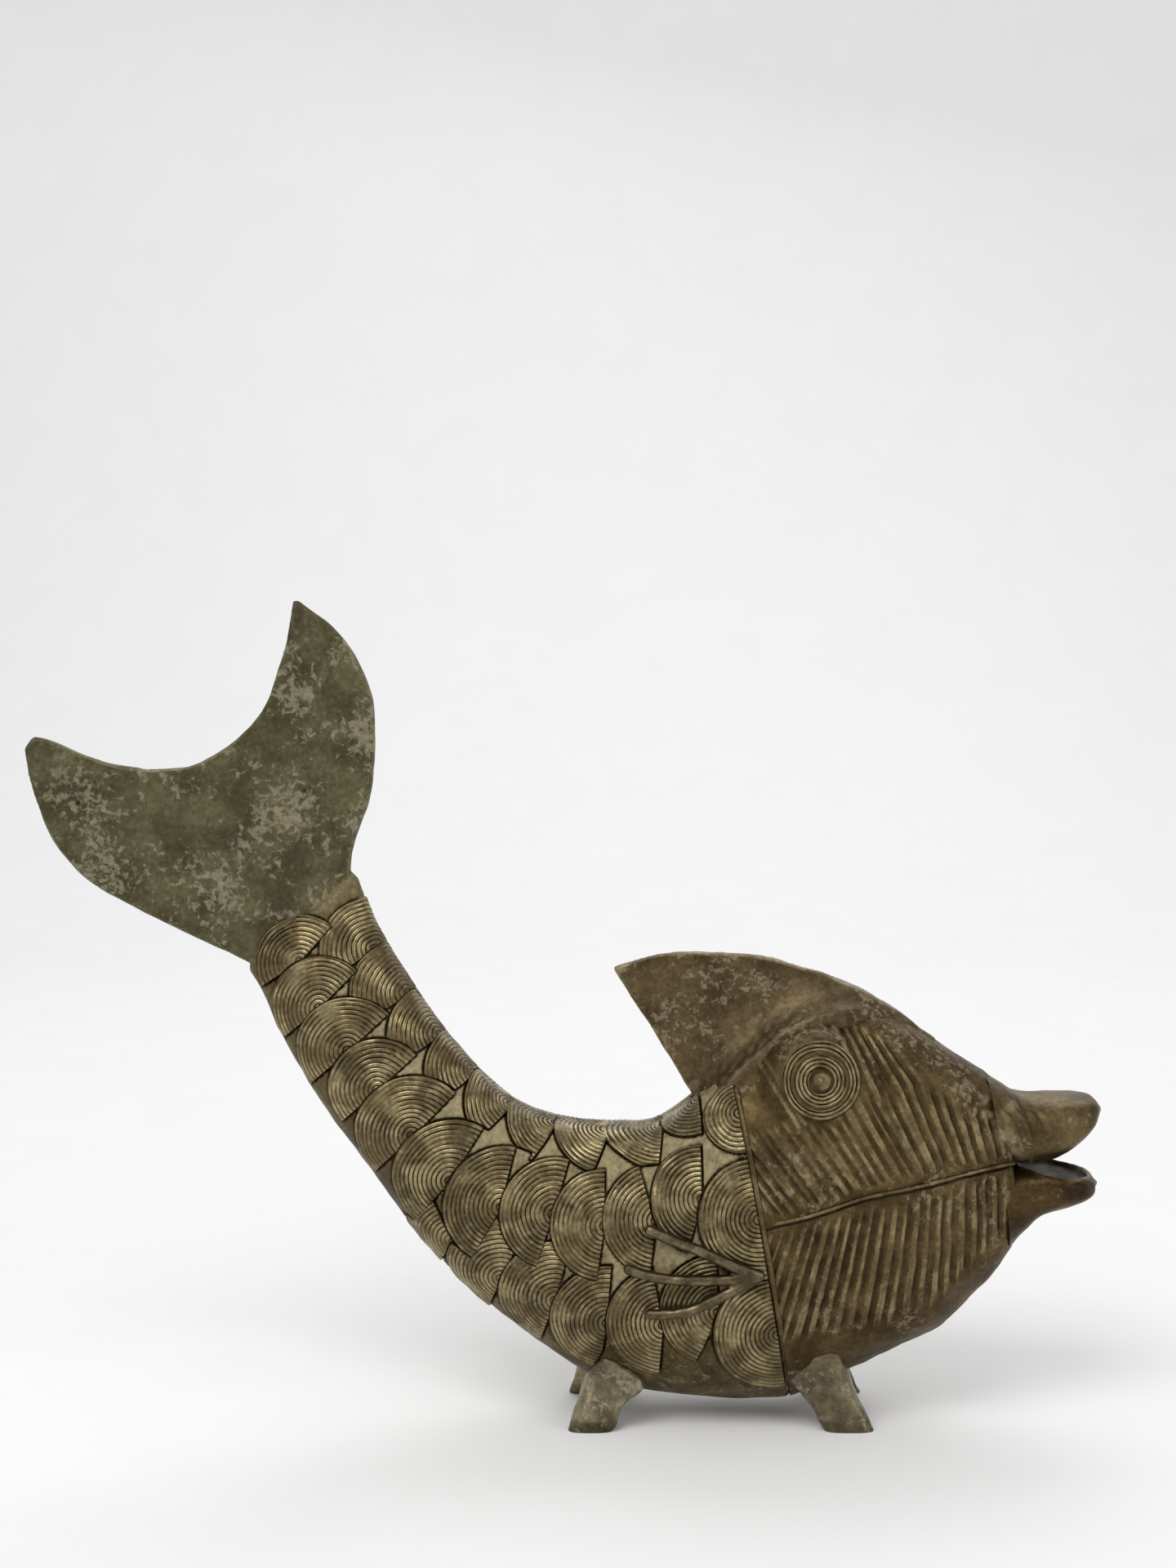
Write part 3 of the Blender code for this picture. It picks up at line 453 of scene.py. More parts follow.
def cast_brass(name, dark, mid, bright, residue, residue_share, roughness, patch=None):
    """Lost-wax cast brass, aged: brown patina, rubbed ridges and pale investment residue in flecks.

    The eye sees a dull olive-brown metal, brass-yellow only where hands rub it, painted shade near
    black down in the grooves, and matt where the residue holds on. residue_share is how much of the
    surface the flecks take, and patch the colour of the places where residue stays.
    """
    material, tree, shader, place = new_material(name)
    raw, part = brass_patterns(tree, place)

    # Ridges are rubbed bright only in places
    rubbed = add(tree, "ShaderNodeMath", {0: part["ridges"], 1: part["handled"]},
                 operation="MULTIPLY").outputs[0]
    # Residue in flecks of 1 to 3 mm, thicker in some areas than in others
    spread = add(tree, "ShaderNodeMath", {0: raw["flecks"], 1: part["thicker"]},
                 operation="ADD").outputs[0]
    edge = FLECK_START - FLECK_GAIN * residue_share
    inputs = {"Value": spread, "From Min": edge, "From Max": edge + FLECK_EDGE}
    fleck = add(tree, "ShaderNodeMapRange", inputs, interpolation_type="SMOOTHSTEP").outputs["Result"]
    fleck = add(tree, "ShaderNodeMath", {0: fleck, 1: part["open"]}, operation="MULTIPLY").outputs[0]
    thin = add(tree, "ShaderNodeMath", {0: fleck, 1: RESIDUE_COVER}, operation="MULTIPLY").outputs[0]
    # Places where the pale residue stays, such as the smoothed wax between the scales
    stain = add(tree, "ShaderNodeMath", {0: raw["patch"], 1: part["held"]},
                operation="MULTIPLY").outputs[0]
    cover = add(tree, "ShaderNodeMath", {0: fleck, 1: stain}, operation="MAXIMUM").outputs[0]

    # Colours over each other, from the dark patina up to the painted shade in the grooves
    colour = srgb(dark)
    coats = ((part["cloudy"], mid), (rubbed, bright), (thin, residue), (stain, patch or residue),
             (part["grooves"], PAINTED_GROOVE_SHADE))
    for share, coat in coats:
        colour = add(tree, "ShaderNodeMix", {0: share, 6: colour, 7: srgb(coat)},
                     data_type="RGBA").outputs[2]
    colour = add(tree, "ShaderNodeVectorMath", {0: colour, "Scale": part["speckled"]},
                 operation="SCALE").outputs[0]
    tree.links.new(colour, shader.inputs["Base Color"])

    inputs = {"Value": cover, "To Min": BARE_METAL, "To Max": COVERED_METAL}
    metal = add(tree, "ShaderNodeMapRange", inputs, interpolation_type="SMOOTHSTEP").outputs["Result"]
    tree.links.new(metal, shader.inputs["Metallic"])
    inputs = {"Value": rubbed, "To Min": roughness, "To Max": roughness - RUBBED_GAIN}
    polish = add(tree, "ShaderNodeMapRange", inputs, interpolation_type="SMOOTHSTEP").outputs["Result"]
    polish = add(tree, "ShaderNodeMath", {0: polish, 1: part["uneven"]}, operation="ADD").outputs[0]
    polish = add(tree, "ShaderNodeMath", {0: cover, 1: RESIDUE_GAIN, 2: polish},
                 operation="MULTIPLY_ADD").outputs[0]
    tree.links.new(polish, shader.inputs["Roughness"])

    # Casting skin with grain and pits, and residue that stands out a little
    grain = add(tree, "ShaderNodeMath", {0: raw["grain"], 1: GRAIN_HEIGHT, 2: part["dents"]},
                operation="MULTIPLY_ADD").outputs[0]
    grain = add(tree, "ShaderNodeMath", {0: cover, 1: RESIDUE_HEIGHT, 2: grain},
                operation="MULTIPLY_ADD").outputs[0]
    bump = add(tree, "ShaderNodeBump", {"Height": grain, "Strength": 0.35, "Distance": 0.16 * mm})
    tree.links.new(bump.outputs["Normal"], shader.inputs["Normal"])
    return material


# Size of the grit in the clay
CLAY_GRIT = 1.5 * mm


def fired_clay():
    """Fired clay of the casting core: a matt brown, unseen inside the metal."""
    material, tree, shader, place = new_material("fired_clay")
    grit = add(tree, "ShaderNodeTexNoise", {"Vector": place, "Scale": 1 / CLAY_GRIT, "Detail": 6})
    inputs = {0: grit.outputs["Fac"], 6: srgb("#4c3a2d"), 7: srgb("#77604c")}
    colour = add(tree, "ShaderNodeMix", inputs, data_type="RGBA")
    tree.links.new(colour.outputs[2], shader.inputs["Base Color"])
    bump = add(tree, "ShaderNodeBump", {"Height": grit.outputs["Fac"], "Distance": 0.2 * mm})
    tree.links.new(bump.outputs["Normal"], shader.inputs["Normal"])
    shader.inputs["Roughness"].default_value = 0.95
    return material


# One casting that has aged differently from place to place: hands have rubbed the scales and the
# head, residue stays on the skin between the scales, the fins are pale and matt, and the legs are
# worn pale. The lower lip is painted dark as shade, and the dark brown rods are painted darker as shade
SCALE_BRASS = cast_brass("scale_brass", "#3a2f1b", "#5b4d30", "#9c8e69", "#7a6f52", 0.3, 0.38)
SKIN_BRASS = cast_brass("skin_brass", "#3f351e", "#5f5236", "#82754f", "#857858", 0.5, 0.52, "#988b68")
HEAD_BRASS = cast_brass("head_brass", "#3f3117", "#5f4e31", "#998863", "#8d8064", 0.5, 0.48, "#948666")
FIN_BRASS = cast_brass("fin_brass", "#4a452f", "#645e44", "#8a8268", "#928b72", 0.8, 0.52)
CREST_BRASS = cast_brass("crest_brass", "#453923", "#635339", "#8a7b5d", "#8f8266", 0.65, 0.52,
                         "#8a7c5f")
LIP_BRASS = cast_brass("lip_brass", "#46381f", "#68583c", "#968761", "#968769", 0.5, 0.44, "#988a69")
# Darker and warmer than the upper lip: painted shade under the head, with painted warm light bounced from
# below
SHADED_JAW_BRASS = cast_brass("shaded_jaw_brass", "#2e220f", "#4c3b20", "#8c7649", "#6f5e3b", 0.4, 0.42)
# Dark brown rods, painted darker still as the shade that falls on and under them
DARK_SHADED_ROD_BRASS = cast_brass("dark_shaded_rod_brass", "#2f2614", "#4b3f29", "#85775a", "#6f654c", 0.3, 0.42)
LEG_BRASS = cast_brass("leg_brass", "#413b2a", "#716850", "#b3a687", "#a69d84", 0.6, 0.4, "#615238")


# Legs and crest: places and sizes, which the scales beside them need too

# Legs from the foot up: height, x at the rear, x at the front, y outside, y inside
REAR_LEG = np.array([
    (0.0, 0.5, 12.7, 20.0, 13.0),
    (7.0, 2.8, 16.2, 19.6, 12.0),
    (13.0, 4.8, 22.0, 19.2, 9.0),
    (18.5, 8.0, 15.5, 18.6, 10.0),
    (24.5, 10.6, 12.2, 16.6, 11.0),
]) * mm
FRONT_LEG = np.array([
    (0.0, 71.6, 85.2, 20.0, 13.0),
    (5.0, 68.4, 83.0, 19.7, 12.0),
    (10.5, 64.2, 80.6, 19.6, 9.0),
    (16.0, 60.6, 78.4, 19.4, 8.0),
    (24.0, 61.5, 74.5, 19.6, 12.0),
    (31.0, 64.5, 70.0, 18.4, 15.0),
]) * mm
CREST_THICKNESS = 3.4 * mm
# Rear edge of the crest, from its tip down to a point inside the head: x and z
CREST_REAR = ((13.3 * mm, 126.7 * mm), (38.0 * mm, 86.5 * mm))


# Scales

def crest_heel():
    """Distance along the body at which the rear edge of the crest meets the back."""
    along = np.linspace(0, GILL, 400)
    ridge = skin(along, quarter(along), RIGHT)
    (top_x, top_z), (low_x, low_z) = CREST_REAR
    edge = low_x + (top_x - low_x) * (ridge[:, 2] - low_z) / (top_z - low_z)
    return along[np.argmax(ridge[:, 0] > edge)]


HEEL = crest_heel()
# Each laid scale's middle, direction to the tail and radius, and the places that scales cover
LAID = []
COVERED = []


def taken(along, points):
    """Where points of the body are taken by a leg, the crest or a scale that is already laid."""
    x, y, z = np.moveaxis(points, -1, 0)
    busy = (along > HEEL) & (z > sections(along)[1]) & (np.abs(y) < CREST_THICKNESS / 2 + SCALE_GAP)
    for leg in (REAR_LEG, FRONT_LEG):
        rear = np.interp(z, leg[:, 0], leg[:, 1])
        front = np.interp(z, leg[:, 0], leg[:, 2])
        busy |= (z < leg[-1, 0]) & (rear < x) & (x < front)
    for centre, tailward, radius in LAID:
        away = points - centre
        near = np.linalg.norm(away, axis=-1) < radius + SCALE_GAP
        busy |= (centre[1] * y >= 0) & near & (away @ tailward > -SCALE_GAP)
    return busy


def remember(start, rise, radius, tilt, side):
    """Note the place of a laid scale, so that later ones and the skin follow it."""
    centre = skin(start, rise, side)
    upward = unit(skin(start, rise + mm, side) - skin(start, rise - mm, side))
    lean = math.radians(sections(start)[2])
    tailward = np.array([-math.sin(lean), 0.0, math.cos(lean)])
    LAID.append((centre, tailward * math.cos(tilt) - upward * math.sin(tilt), radius))


def thread_reaches(radius):
    """Distances from the middle of a coil across each of its threads, denser in the groove."""
    threads = np.arange(math.ceil(radius / THREAD_PITCH))[:, None]
    return np.append((threads + (0.0, 0.09, 0.25, 0.5, 0.75, 0.91)).ravel() * THREAD_PITCH, radius)


def free_reach(along, height, side, tries, over):
    """First and last free distance in each direction, and whether the ridge of the back ends it."""
    busy = taken(along, skin(along, height, side)) | (along < -OVER_FIN) | over
    first = np.argmax(~busy[:, 1:], axis=1) + 1
    begin = np.where(busy[:, 1], tries[first], 0.0)
    stop = busy & (np.arange(len(tries)) > first[:, None])
    at = stop.argmax(axis=1)
    limit = np.where(stop.any(axis=1), tries[at - 1], tries[-1])
    meets = (stop & over)[np.arange(len(at)), at]
    shut = (begin > LATEST_BEGIN) | busy[:, 1:].all(axis=1)
    return np.where(shut, 0.0, begin)[:, None], np.where(shut, 0.0, limit)[:, None], meets[:, None]


def slab_faces(rows, columns):
    """Faces of a slab: a grid on top, a point under each point of its edge, and one in the middle
    of them. Also the numbers of the points of that edge."""
    index = np.arange(rows * columns).reshape(rows, columns)
    last = columns - 1
    top = np.stack([index[:-1, :-1], index[1:, :-1], index[1:, 1:], index[:-1, 1:]], axis=-1)
    loop = np.concatenate([index[:, last], index[-1, last - 1:0:-1], index[::-1, 0], index[0, 1:last]])
    under = rows * columns + np.arange(len(loop))
    walls = np.stack([loop, np.roll(loop, -1), np.roll(under, -1), under], axis=-1)
    middle = under[-1] + 1
    base = [[middle, a, b] for a, b in zip(np.roll(under, -1).tolist(), under.tolist())]
    return top.reshape(-1, 4).tolist() + walls.tolist() + base, loop


def make_scale(name, node, start, rise, radius, tilt, side, to_ridge=False):
    """Half disc coiled from wax thread: its rings are cut off where something else lies."""
    tilt = math.radians(tilt)
    half_turn = np.linspace(0, math.pi, SCALE_TURNS)[:, None]
    turns = half_turn + tilt
    tries = np.linspace(0, radius, SCALE_TRIES)
    along, height = shifted(start, rise, side, turns, tries)
    over = to_ridge & (height > quarter(along) - 0.02 * mm)
    begin, limit, meets = free_reach(along, height, side, tries, over)
    reach = thread_reaches(radius)
    far = np.clip(reach[None, :], begin, np.maximum(limit, begin))
    along, height = shifted(start, rise, side, turns, far)
    flat = skin(along, height, side)
    COVERED.append(flat[:, ::2].reshape(-1, 3))
    seed = len(LAID)
    drift = lumps(flat, 9 * mm, seed) * 0.12
    across = (far / THREAD_PITCH + drift * ease(0, 3, far / THREAD_PITCH)) % 1
    thread = np.sqrt(np.maximum(1 - (2 * across - 1) ** 2, 0))
    # Hands have rubbed the middle of the round edge almost smooth, and left the thread ends
    rubbing = lumps(flat, 9 * mm, seed + 50) * 0.8 + 0.9 * np.sin(half_turn) * far / radius
    worn = ease(0.1, 1.0, rubbing - 0.4)
    depth = GROOVE_DEPTH * (1 - 0.75 * worn)
    rim = np.maximum(ease(-0.15 * mm, 0.35 * mm, limit - far), meets)
    edge = ease(-0.1 * mm, 0.35 * mm, far * np.sin(half_turn))
    top = (SCALE_TOP - 0.1 * mm * worn - depth * (1 - thread)) * (0.8 + 0.14 * rim + 0.06 * edge)
    top = top + lumps(flat, 6 * mm, seed + 90) * 0.1 * mm
    upper = lifted(along, height, side, top)
    faces, loop = slab_faces(*far.shape)
    lower = lifted(along, height, side, SCALE_ROOT).reshape(-1, 3)[loop]
    points = np.concatenate([upper.reshape(-1, 3), lower, lower.mean(axis=0, keepdims=True)])
    # Relief is low in the grooves between the threads and at the round edge, which paints shade there
    relief = (0.28 + 0.68 * (thread * (1 - 0.7 * worn) + 0.6 * worn)) * (0.65 + 0.35 * rim)
    relief = np.concatenate([relief.ravel(), np.full(len(loop) + 1, WALL_RELIEF)])
    make_piece(name, points, faces, SCALE_BRASS, [node], "scale", relief=relief)
    remember(start, rise, radius, tilt, side)


def next_start(start, radius, rise, next_rise):
    """Where the next scale towards the tail starts: its centre touches the edge of this one."""
    centre = skin(start, rise, RIGHT)
    tries = np.arange(start, 0, -0.05 * mm)
    rises = next_rise(tries) if callable(next_rise) else next_rise
    far = np.linalg.norm(skin(tries, rises, RIGHT) - centre, axis=-1)
    return tries[np.argmax(far > radius - SCALE_LAP)]


def lay_row(word, side, table, first, name, node):
    """Scales of a row on one side, from the head on. The names have a place for the number."""
    start = first
    row = np.array(table) * (mm, mm, 1.0)
    for number, (radius, rise, tilt) in enumerate(row, 1):
        make_scale(name.format(word, number), node.format(word, number), start, rise, radius, tilt, side)
        if number < len(row):
            start = next_start(start, radius, rise, row[number, 1])


def off_ridge(along):
    """Rise of the middle of a back scale, a little way down from the ridge."""
    return quarter(along) - BACK_DROP


def make_scales():
    """The rows of scales in the order in which they are laid: flanks, nape, back and belly."""
    first = GILL - FIRST_EDGE
    for word, side in SIDES.items():
        lay_row(word, side, FLANK_ROW, first, "{}_flank_coil_{:02d}", "{}_flank_scale_{:02d}")
        make_scale(word + "_nape_coil", word + "_nape_scale", first, NAPE_RISE, NAPE_RADIUS, 0, side)
    start = HEEL + BACK_START
    for number, radius in enumerate(BACK_ROW, 1):
        rise = off_ridge(start)
        for word, side in SIDES.items():
            name = f"{word}_back_coil_{number:02d}"
            make_scale(name, f"back_scale_{number:02d}", start, rise, radius, 0, side, to_ridge=True)
        start = next_start(start, radius, rise, off_ridge)
    for word, side in SIDES.items():
        lay_row(word, side, BELLY_ROW, first, "{}_belly_coil_{}", "{}_belly_scales")


# Body

def round_body(along, columns):
    """Places round the body at each distance along it: along, rise and side."""
    half = columns // 2
    share = np.linspace(-1, 1, half, endpoint=False)
    share = np.concatenate([share, -share])
    along = np.repeat(along[:, None], columns, axis=1)
    side = np.broadcast_to(np.repeat([RIGHT, LEFT], half), along.shape)
    return along, share * quarter(along), side


# Height of the wax between the scales, in millimetres
FILL_HEIGHT = 1.4
TRUNK_RINGS = 320
TRUNK_SIDES = 306


def from_scales(points):
    """Distance from points of the skin to the nearest place that a scale covers."""
    covered = np.concatenate(COVERED)
    tree = KDTree(len(covered))
    for number, place in enumerate(covered.tolist()):
        tree.insert(place, number)
    tree.balance()
    far = [tree.find(point)[2] for point in points.reshape(-1, 3).tolist()]
    return np.array(far).reshape(points.shape[:-1])


def make_trunk():
    """Skin under the scales: it fills the spaces between them almost to their tops."""
    along, rise, side = round_body(np.linspace(0, GILL + 0.6 * mm, TRUNK_RINGS), TRUNK_SIDES)
    flat = skin(along, rise, side)
    far = from_scales(flat)
    between = ease(0.2 * mm, 0.6 * mm, far)
    # The pale residue ends towards the belly, and thins out next to the tail fin
    low = np.interp(along, (60 * mm, 100 * mm), (-2 * mm, -13 * mm))
    gap = ease(0.3 * mm, 0.7 * mm, far) * ease(8 * mm, 16 * mm, along)
    gap = gap * ease(-3 * mm, 3 * mm, rise - low)
    gap = np.maximum(gap, 0.3 * ease(14 * mm, 4 * mm, along))
    lift = (between * FILL_HEIGHT + lumps(flat, 7 * mm, 3) * 0.15 * between - 0.1) * mm
    lift = lift * ease(0, 3 * mm, along) - 1.0 * mm * ease(GILL - 1.2 * mm, GILL, along)
    # Lower relief next to the scales paints shade into the crevices at their edges
    relief = 0.35 + 0.3 * ease(0.25 * mm, 0.6 * mm, far)
    make_rings("trunk_skin", lifted(along, rise, side, lift), SKIN_BRASS, ["trunk_shell"], "skin",
               relief=relief, patch=gap)


# Eyes: places and sizes, which the head under them needs too

EYE_BEHIND_GILL = 23.2 * mm
EYE_RISE = 35.0 * mm
EYE_TILT = 9.0
EYE_RADIUS = 10.9 * mm
EYE_HEIGHT = 2.4 * mm
EYE_TIER_RADIUS = 7.2 * mm
EYE_TIER_HEIGHT = 1.6 * mm
EYE_SEAT = 7.0 * mm
EYE_PITCH = 1.1 * mm
# The ledge round the upper tier is plain up to this radius
EYE_PLAIN = 8.0 * mm
EYE_TURN = np.linspace(0, 2 * math.pi, 140, endpoint=False)[None, :]
# The swelling of the cheek under the eye stays this much below the eye's rim
EYE_MOUND = 1.3 * mm
CONE_RADIUS = 3.9 * mm
CONE_HEIGHT = 3.6 * mm
CONE_SUNK = 0.5 * mm


def eye_frame(side):
    """Seat of an eye on the head, and its directions ahead, over and out of the head."""
    seat = skin(np.array(GILL + EYE_BEHIND_GILL), np.array(EYE_RISE), side)
    tilt = math.radians(EYE_TILT)
    over = np.array([0, -side * math.sin(tilt), math.cos(tilt)])
    return seat, np.array([1.0, 0, 0]), over, np.array([0, side * math.cos(tilt), math.sin(tilt)])


def eye_points(side, radius, turn, height):
    """Points in the frame of an eye, whose third axis points out of the head."""
    seat, ahead, over, out = eye_frame(side)
    points = seat + (radius * np.cos(turn))[..., None] * ahead
    return points + (radius * np.sin(turn))[..., None] * over + height[..., None] * out


# Head

HEAD_RINGS = 170
HEAD_SIDES = 570
# Mouth line on the cheek, in millimetres: x and z
MOUTH_LINE = np.array([
    (53.0, 58.8), (68.4, 63.0), (81.8, 67.8), (95.1, 69.8), (108.5, 72.5), (124.0, 74.6),
])
# Lean of the strokes over the mouth line, in degrees from level, by the x of their lower end
UPPER_LEAN = np.array([
    (56.0, 50.0), (70.0, 52.0), (84.0, 59.0), (97.0, 61.0), (105.0, 68.0), (118.0, 76.0),
])
# Top of those strokes by the x of their lower end: the gill, the eye's lower edge, the forehead
UPPER_TOP = np.array([
    (57.0, 74.0), (64.0, 86.0), (72.0, 89.0), (80.0, 86.5), (86.0, 90.0), (90.0, 108.0),
    (98.0, 106.0), (108.0, 98.0), (120.0, 88.0),
])
# Lower ends of the strokes on the jaw
JAW_END = np.array([
    (56.0, 52.0), (60.0, 38.0), (69.6, 24.0), (83.2, 25.0), (92.2, 28.0), (101.3, 33.0),
    (110.3, 41.0), (118.0, 52.0),
])
# Distance from one stroke to the next, in millimetres
UPPER_SPACING = 2.95
JAW_SPACING = 3.1
# Threads between the gill and the eye, in millimetres: x and z of both ends, and half their width
CHEEK_THREADS = [(49.0, 108.6, 63.4, 86.4), (50.7, 109.45, 65.1, 87.25)]
CHEEK_THREAD_HALF = 0.62


def strokes():
    """Incised strokes on each side of the head, in millimetres: x and z of both ends, half width."""
    rng = np.random.default_rng(7)
    lines = []
    for x in np.arange(58.0, 120.0, UPPER_SPACING):
        x += rng.uniform(-0.3, 0.3)
        z = np.interp(x, *MOUTH_LINE.T) + rng.uniform(0.8, 2.0)
        lean = math.radians(np.interp(x, *UPPER_LEAN.T) + rng.uniform(-1.5, 1.5))
        top = np.interp(x, *UPPER_TOP.T) + rng.uniform(-2.0, 1.0)
        lines.append((x, z, x - (top - z) / math.tan(lean), top, rng.uniform(0.5, 0.68)))
    # From the front of the eye up to the foot of the crest
    for k in range(5):
        lines.append((84.0 + 3.2 * k, 92.0 + 1.0 * k, 73.5 + 3.4 * k, 117.0 - 1.8 * k, 0.55))
    for x in np.arange(57.5, 122.0, JAW_SPACING):
        x += rng.uniform(-0.25, 0.25)
        z = np.interp(x, *MOUTH_LINE.T) - rng.uniform(1.6, 2.6)
        slope = 0.29 - 0.0066 * (x - 65.6)
        low = np.interp(x, *JAW_END.T) + rng.uniform(-1.0, 2.0)
        lines.append((x, z, x - slope * (z - low), low, rng.uniform(0.62, 0.85)))
    return lines


def incised(x, z, flat):
    """How deep in a stroke each point of the head lies, and how near to one, from 0 to 1."""
    bend = lumps(flat, 16 * mm, 21) * 0.12
    cut = np.zeros(x.shape)
    field = np.zeros(x.shape)
    for x0, z0, x1, z1, half in strokes():
        far, share = near_stroke(x + bend, z, x0, z0, x1, z1)
        deep = ease(0, 0.1, share) * ease(0, 0.15, 1 - share)
        cut = np.maximum(cut, deep * (1 - ease(half * 0.3, half * 1.6, far)))
        field = np.maximum(field, deep * (1 - ease(1.4, 2.6, far)))
    return cut * (0.7 + 0.3 * ease(-0.9, 0.3, lumps(flat, 8 * mm, 5))), field


def swell_cheeks(points, side):
    """Points of the head, with the cheek swollen under each eye."""
    for way in SIDES.values():
        seat, _, _, out = eye_frame(way)
        height = (points - seat) @ out
        away = np.linalg.norm(points - seat - height[..., None] * out, axis=-1)
        mound = np.maximum(EYE_HEIGHT - EYE_MOUND - height, 0) * ease(17 * mm, 10 * mm, away)
        points = points + (mound * (side == way))[..., None] * out
    return points


def make_head():
    """Head skin with the incised strokes, the groove of the mouth and two threads by the eye."""
    along, rise, side = round_body(np.linspace(GILL - 0.3 * mm, MOUTH, HEAD_RINGS), HEAD_SIDES)
    flat = skin(along, rise, side)
    x, z = flat[..., 0] / mm, flat[..., 2] / mm
    cut, field = incised(x, z, flat)
    line = z - np.interp(x, *MOUTH_LINE.T)
    slit = (1 - ease(0.1, 0.8, np.abs(line + 0.9))) * (x > 52)
    ridge = np.zeros(x.shape)
    for ends in CHEEK_THREADS:
        far, _ = near_stroke(x, z, *ends)
        ridge = np.maximum(ridge, np.sqrt(np.maximum(1 - (far / CHEEK_THREAD_HALF) ** 2, 0)))
    collar = np.exp(-(along - GILL) / (8 * mm)) * 1.4
    lift = collar - 0.85 * cut - 0.6 * slit + 0.55 * ridge + lumps(flat, 12 * mm, 8) * 0.22
    lift = lift + lumps(flat, 4 * mm, 9) * 0.07
    lift = lift - 0.8 * ease(MOUTH - 3 * mm, MOUTH, along)
    # Lower relief in the strokes and the mouth groove paints shade into these cuts
    relief = np.clip(0.6 + 0.2 * field - 0.62 * np.maximum(cut, slit) + 0.3 * ridge, 0, 1)
    points = swell_cheeks(lifted(along, rise, side, lift * mm), side)
    # Pale residue holds on at the root of the snout and under the crest
    stain = np.exp(-((x - 119) / 4) ** 2 - ((z - 90) / 7) ** 2)
    stain = np.maximum(stain, 0.7 * np.exp(-((x - 58) / 10) ** 2 - ((z - 112) / 5) ** 2))
    stain = stain * ease(-0.3, 0.5, lumps(flat, 5 * mm, 12)) * (1 - cut)
    make_rings("head_skin", points, HEAD_BRASS, ["head_shell"], "skin",
               relief=relief, patch=stain)


# Flat fins

# Outline of the tail fin in millimetres, from its root: out and across. The corners are the ends
# of the root, and the tips.
TAIL_OUTLINE = [
    (-9.0, 16.5), (0.3, 19.3), (11.5, 38.0), (21.0, 48.5), (33.0, 57.5), (48.0, 61.8), (64.4, 59.9),
    (65.5, 58.8), (55.5, 45.0), (48.5, 28.0), (50.5, 8.5), (63.5, -7.5), (83.8, -18.4),
    (86.7, -20.7), (85.9, -24.4), (78.6, -29.3), (66.0, -35.0), (49.9, -37.1), (32.0, -32.0),
    (10.0, -23.4), (0.3, -19.6), (-9.0, -17.0),
]
TAIL_CORNERS = (0, 7, 13, 14, 21)
TAIL_TIPS = [(65.5, 58.8), (86.7, -22.5)]
TAIL_THICKNESS = 3.2 * mm
# Pinholes of the casting in the tail, in millimetres: x and z, then their radius and depth
PINHOLES = [(-136.5, 173.2), (-73.4, 176.6)]
PINHOLE_RADIUS = 0.7
PINHOLE_DEPTH = 1.0
# Outline of the crest in millimetres: x and z, with its corners
CREST_OUTLINE = [
    (13.3, 126.7), (24.0, 130.1), (38.0, 131.2), (58.5, 129.1), (84.0, 119.9), (104.0, 106.6),
    (98.0, 98.0), (60.0, 98.0), (38.0, 86.5),
]
CREST_CORNERS = (0, 5, 6, 7, 8)
VOXEL = 0.55 * mm


def smooth_line(knots, corners=(), closed=False, steps=10):
    """Curve through knots: straight towards those whose numbers are corners, rounded elsewhere."""
    knots = np.asarray(knots, dtype=float)
    before = np.roll(knots, 1, axis=0)
    after = np.roll(knots, -1, axis=0)
    if not closed:
        before[0] = knots[0]
        after[-1] = knots[-1]
    slope = unit(after - before)
    points = []
    last = len(knots) if closed else len(knots) - 1
    for k in range(last):
        n = (k + 1) % len(knots)
        span = knots[n] - knots[k]
        length = np.linalg.norm(span)
        first = span if k in corners else slope[k] * length
        final = span if n in corners else slope[n] * length
        t = np.linspace(0, 1, steps, endpoint=False)[:, None]
        points.append(curve_between(t, knots[k], first, knots[n], final))
    if not closed:
        points.append(knots[-1:])
    return np.concatenate(points)


def line_distance(points, line, closed=True):
    """Distance from flat points to a line of flat points."""
    ends = np.roll(line, -1, axis=0) if closed else line[1:]
    best = np.full(len(points), 1.0)
    for start, end in zip(line, ends):
        far, _ = near_stroke(points[:, 0], points[:, 1], *start, *end)
        best = np.minimum(best, far)
    return best


def voxel_skin(bm, size):
    """Points and faces of a closed mesh after a voxel remesh."""
    bmesh.ops.recalc_face_normals(bm, faces=bm.faces)
    mesh = bpy.data.meshes.new("wax")
    bm.to_mesh(mesh)
    bm.free()
    wax = put_in_scene("wax", mesh)
    remesh = wax.modifiers.new("Remesh", "REMESH")
    remesh.mode = "VOXEL"
    remesh.voxel_size = size
    bpy.context.view_layer.update()
    graph = bpy.context.evaluated_depsgraph_get()
    made = wax.evaluated_get(graph).to_mesh()
    points = np.empty(len(made.vertices) * 3)
    normals = np.empty(len(made.vertices) * 3)
    made.vertices.foreach_get("co", points)
    made.vertices.foreach_get("normal", normals)
    faces = [list(face.vertices) for face in made.polygons]
    bpy.data.objects.remove(wax)
    return points.reshape(-1, 3), normals.reshape(-1, 3), faces


def cast_plate(knots, corners, thickness, wave, seed):
    """Plate in the plane of the fish, with an outline that wavers as hand-cut wax does.

    Gives the points of its skin with their normals and faces, and their distance from the rim.
    """
    outline = smooth_line(knots, corners, closed=True)
    wobble = lumps(np.stack([outline[:, 0], 0 * outline[:, 0], outline[:, 1]], axis=1), wave, seed)
    outline = outline + wobble[:, None] * 0.1 * mm
    bm = bmesh.new()
    face = bm.faces.new([bm.verts.new((x, -thickness / 2, z)) for x, z in outline])
    raised = bmesh.ops.extrude_face_region(bm, geom=[face], use_keep_orig=True)["geom"]
    bmesh.ops.translate(bm, verts=[v for v in raised if isinstance(v, bmesh.types.BMVert)],
                        vec=(0, thickness, 0))
    points, normals, faces = voxel_skin(bm, VOXEL)
    return points, normals, faces, line_distance(points[:, (0, 2)], outline)


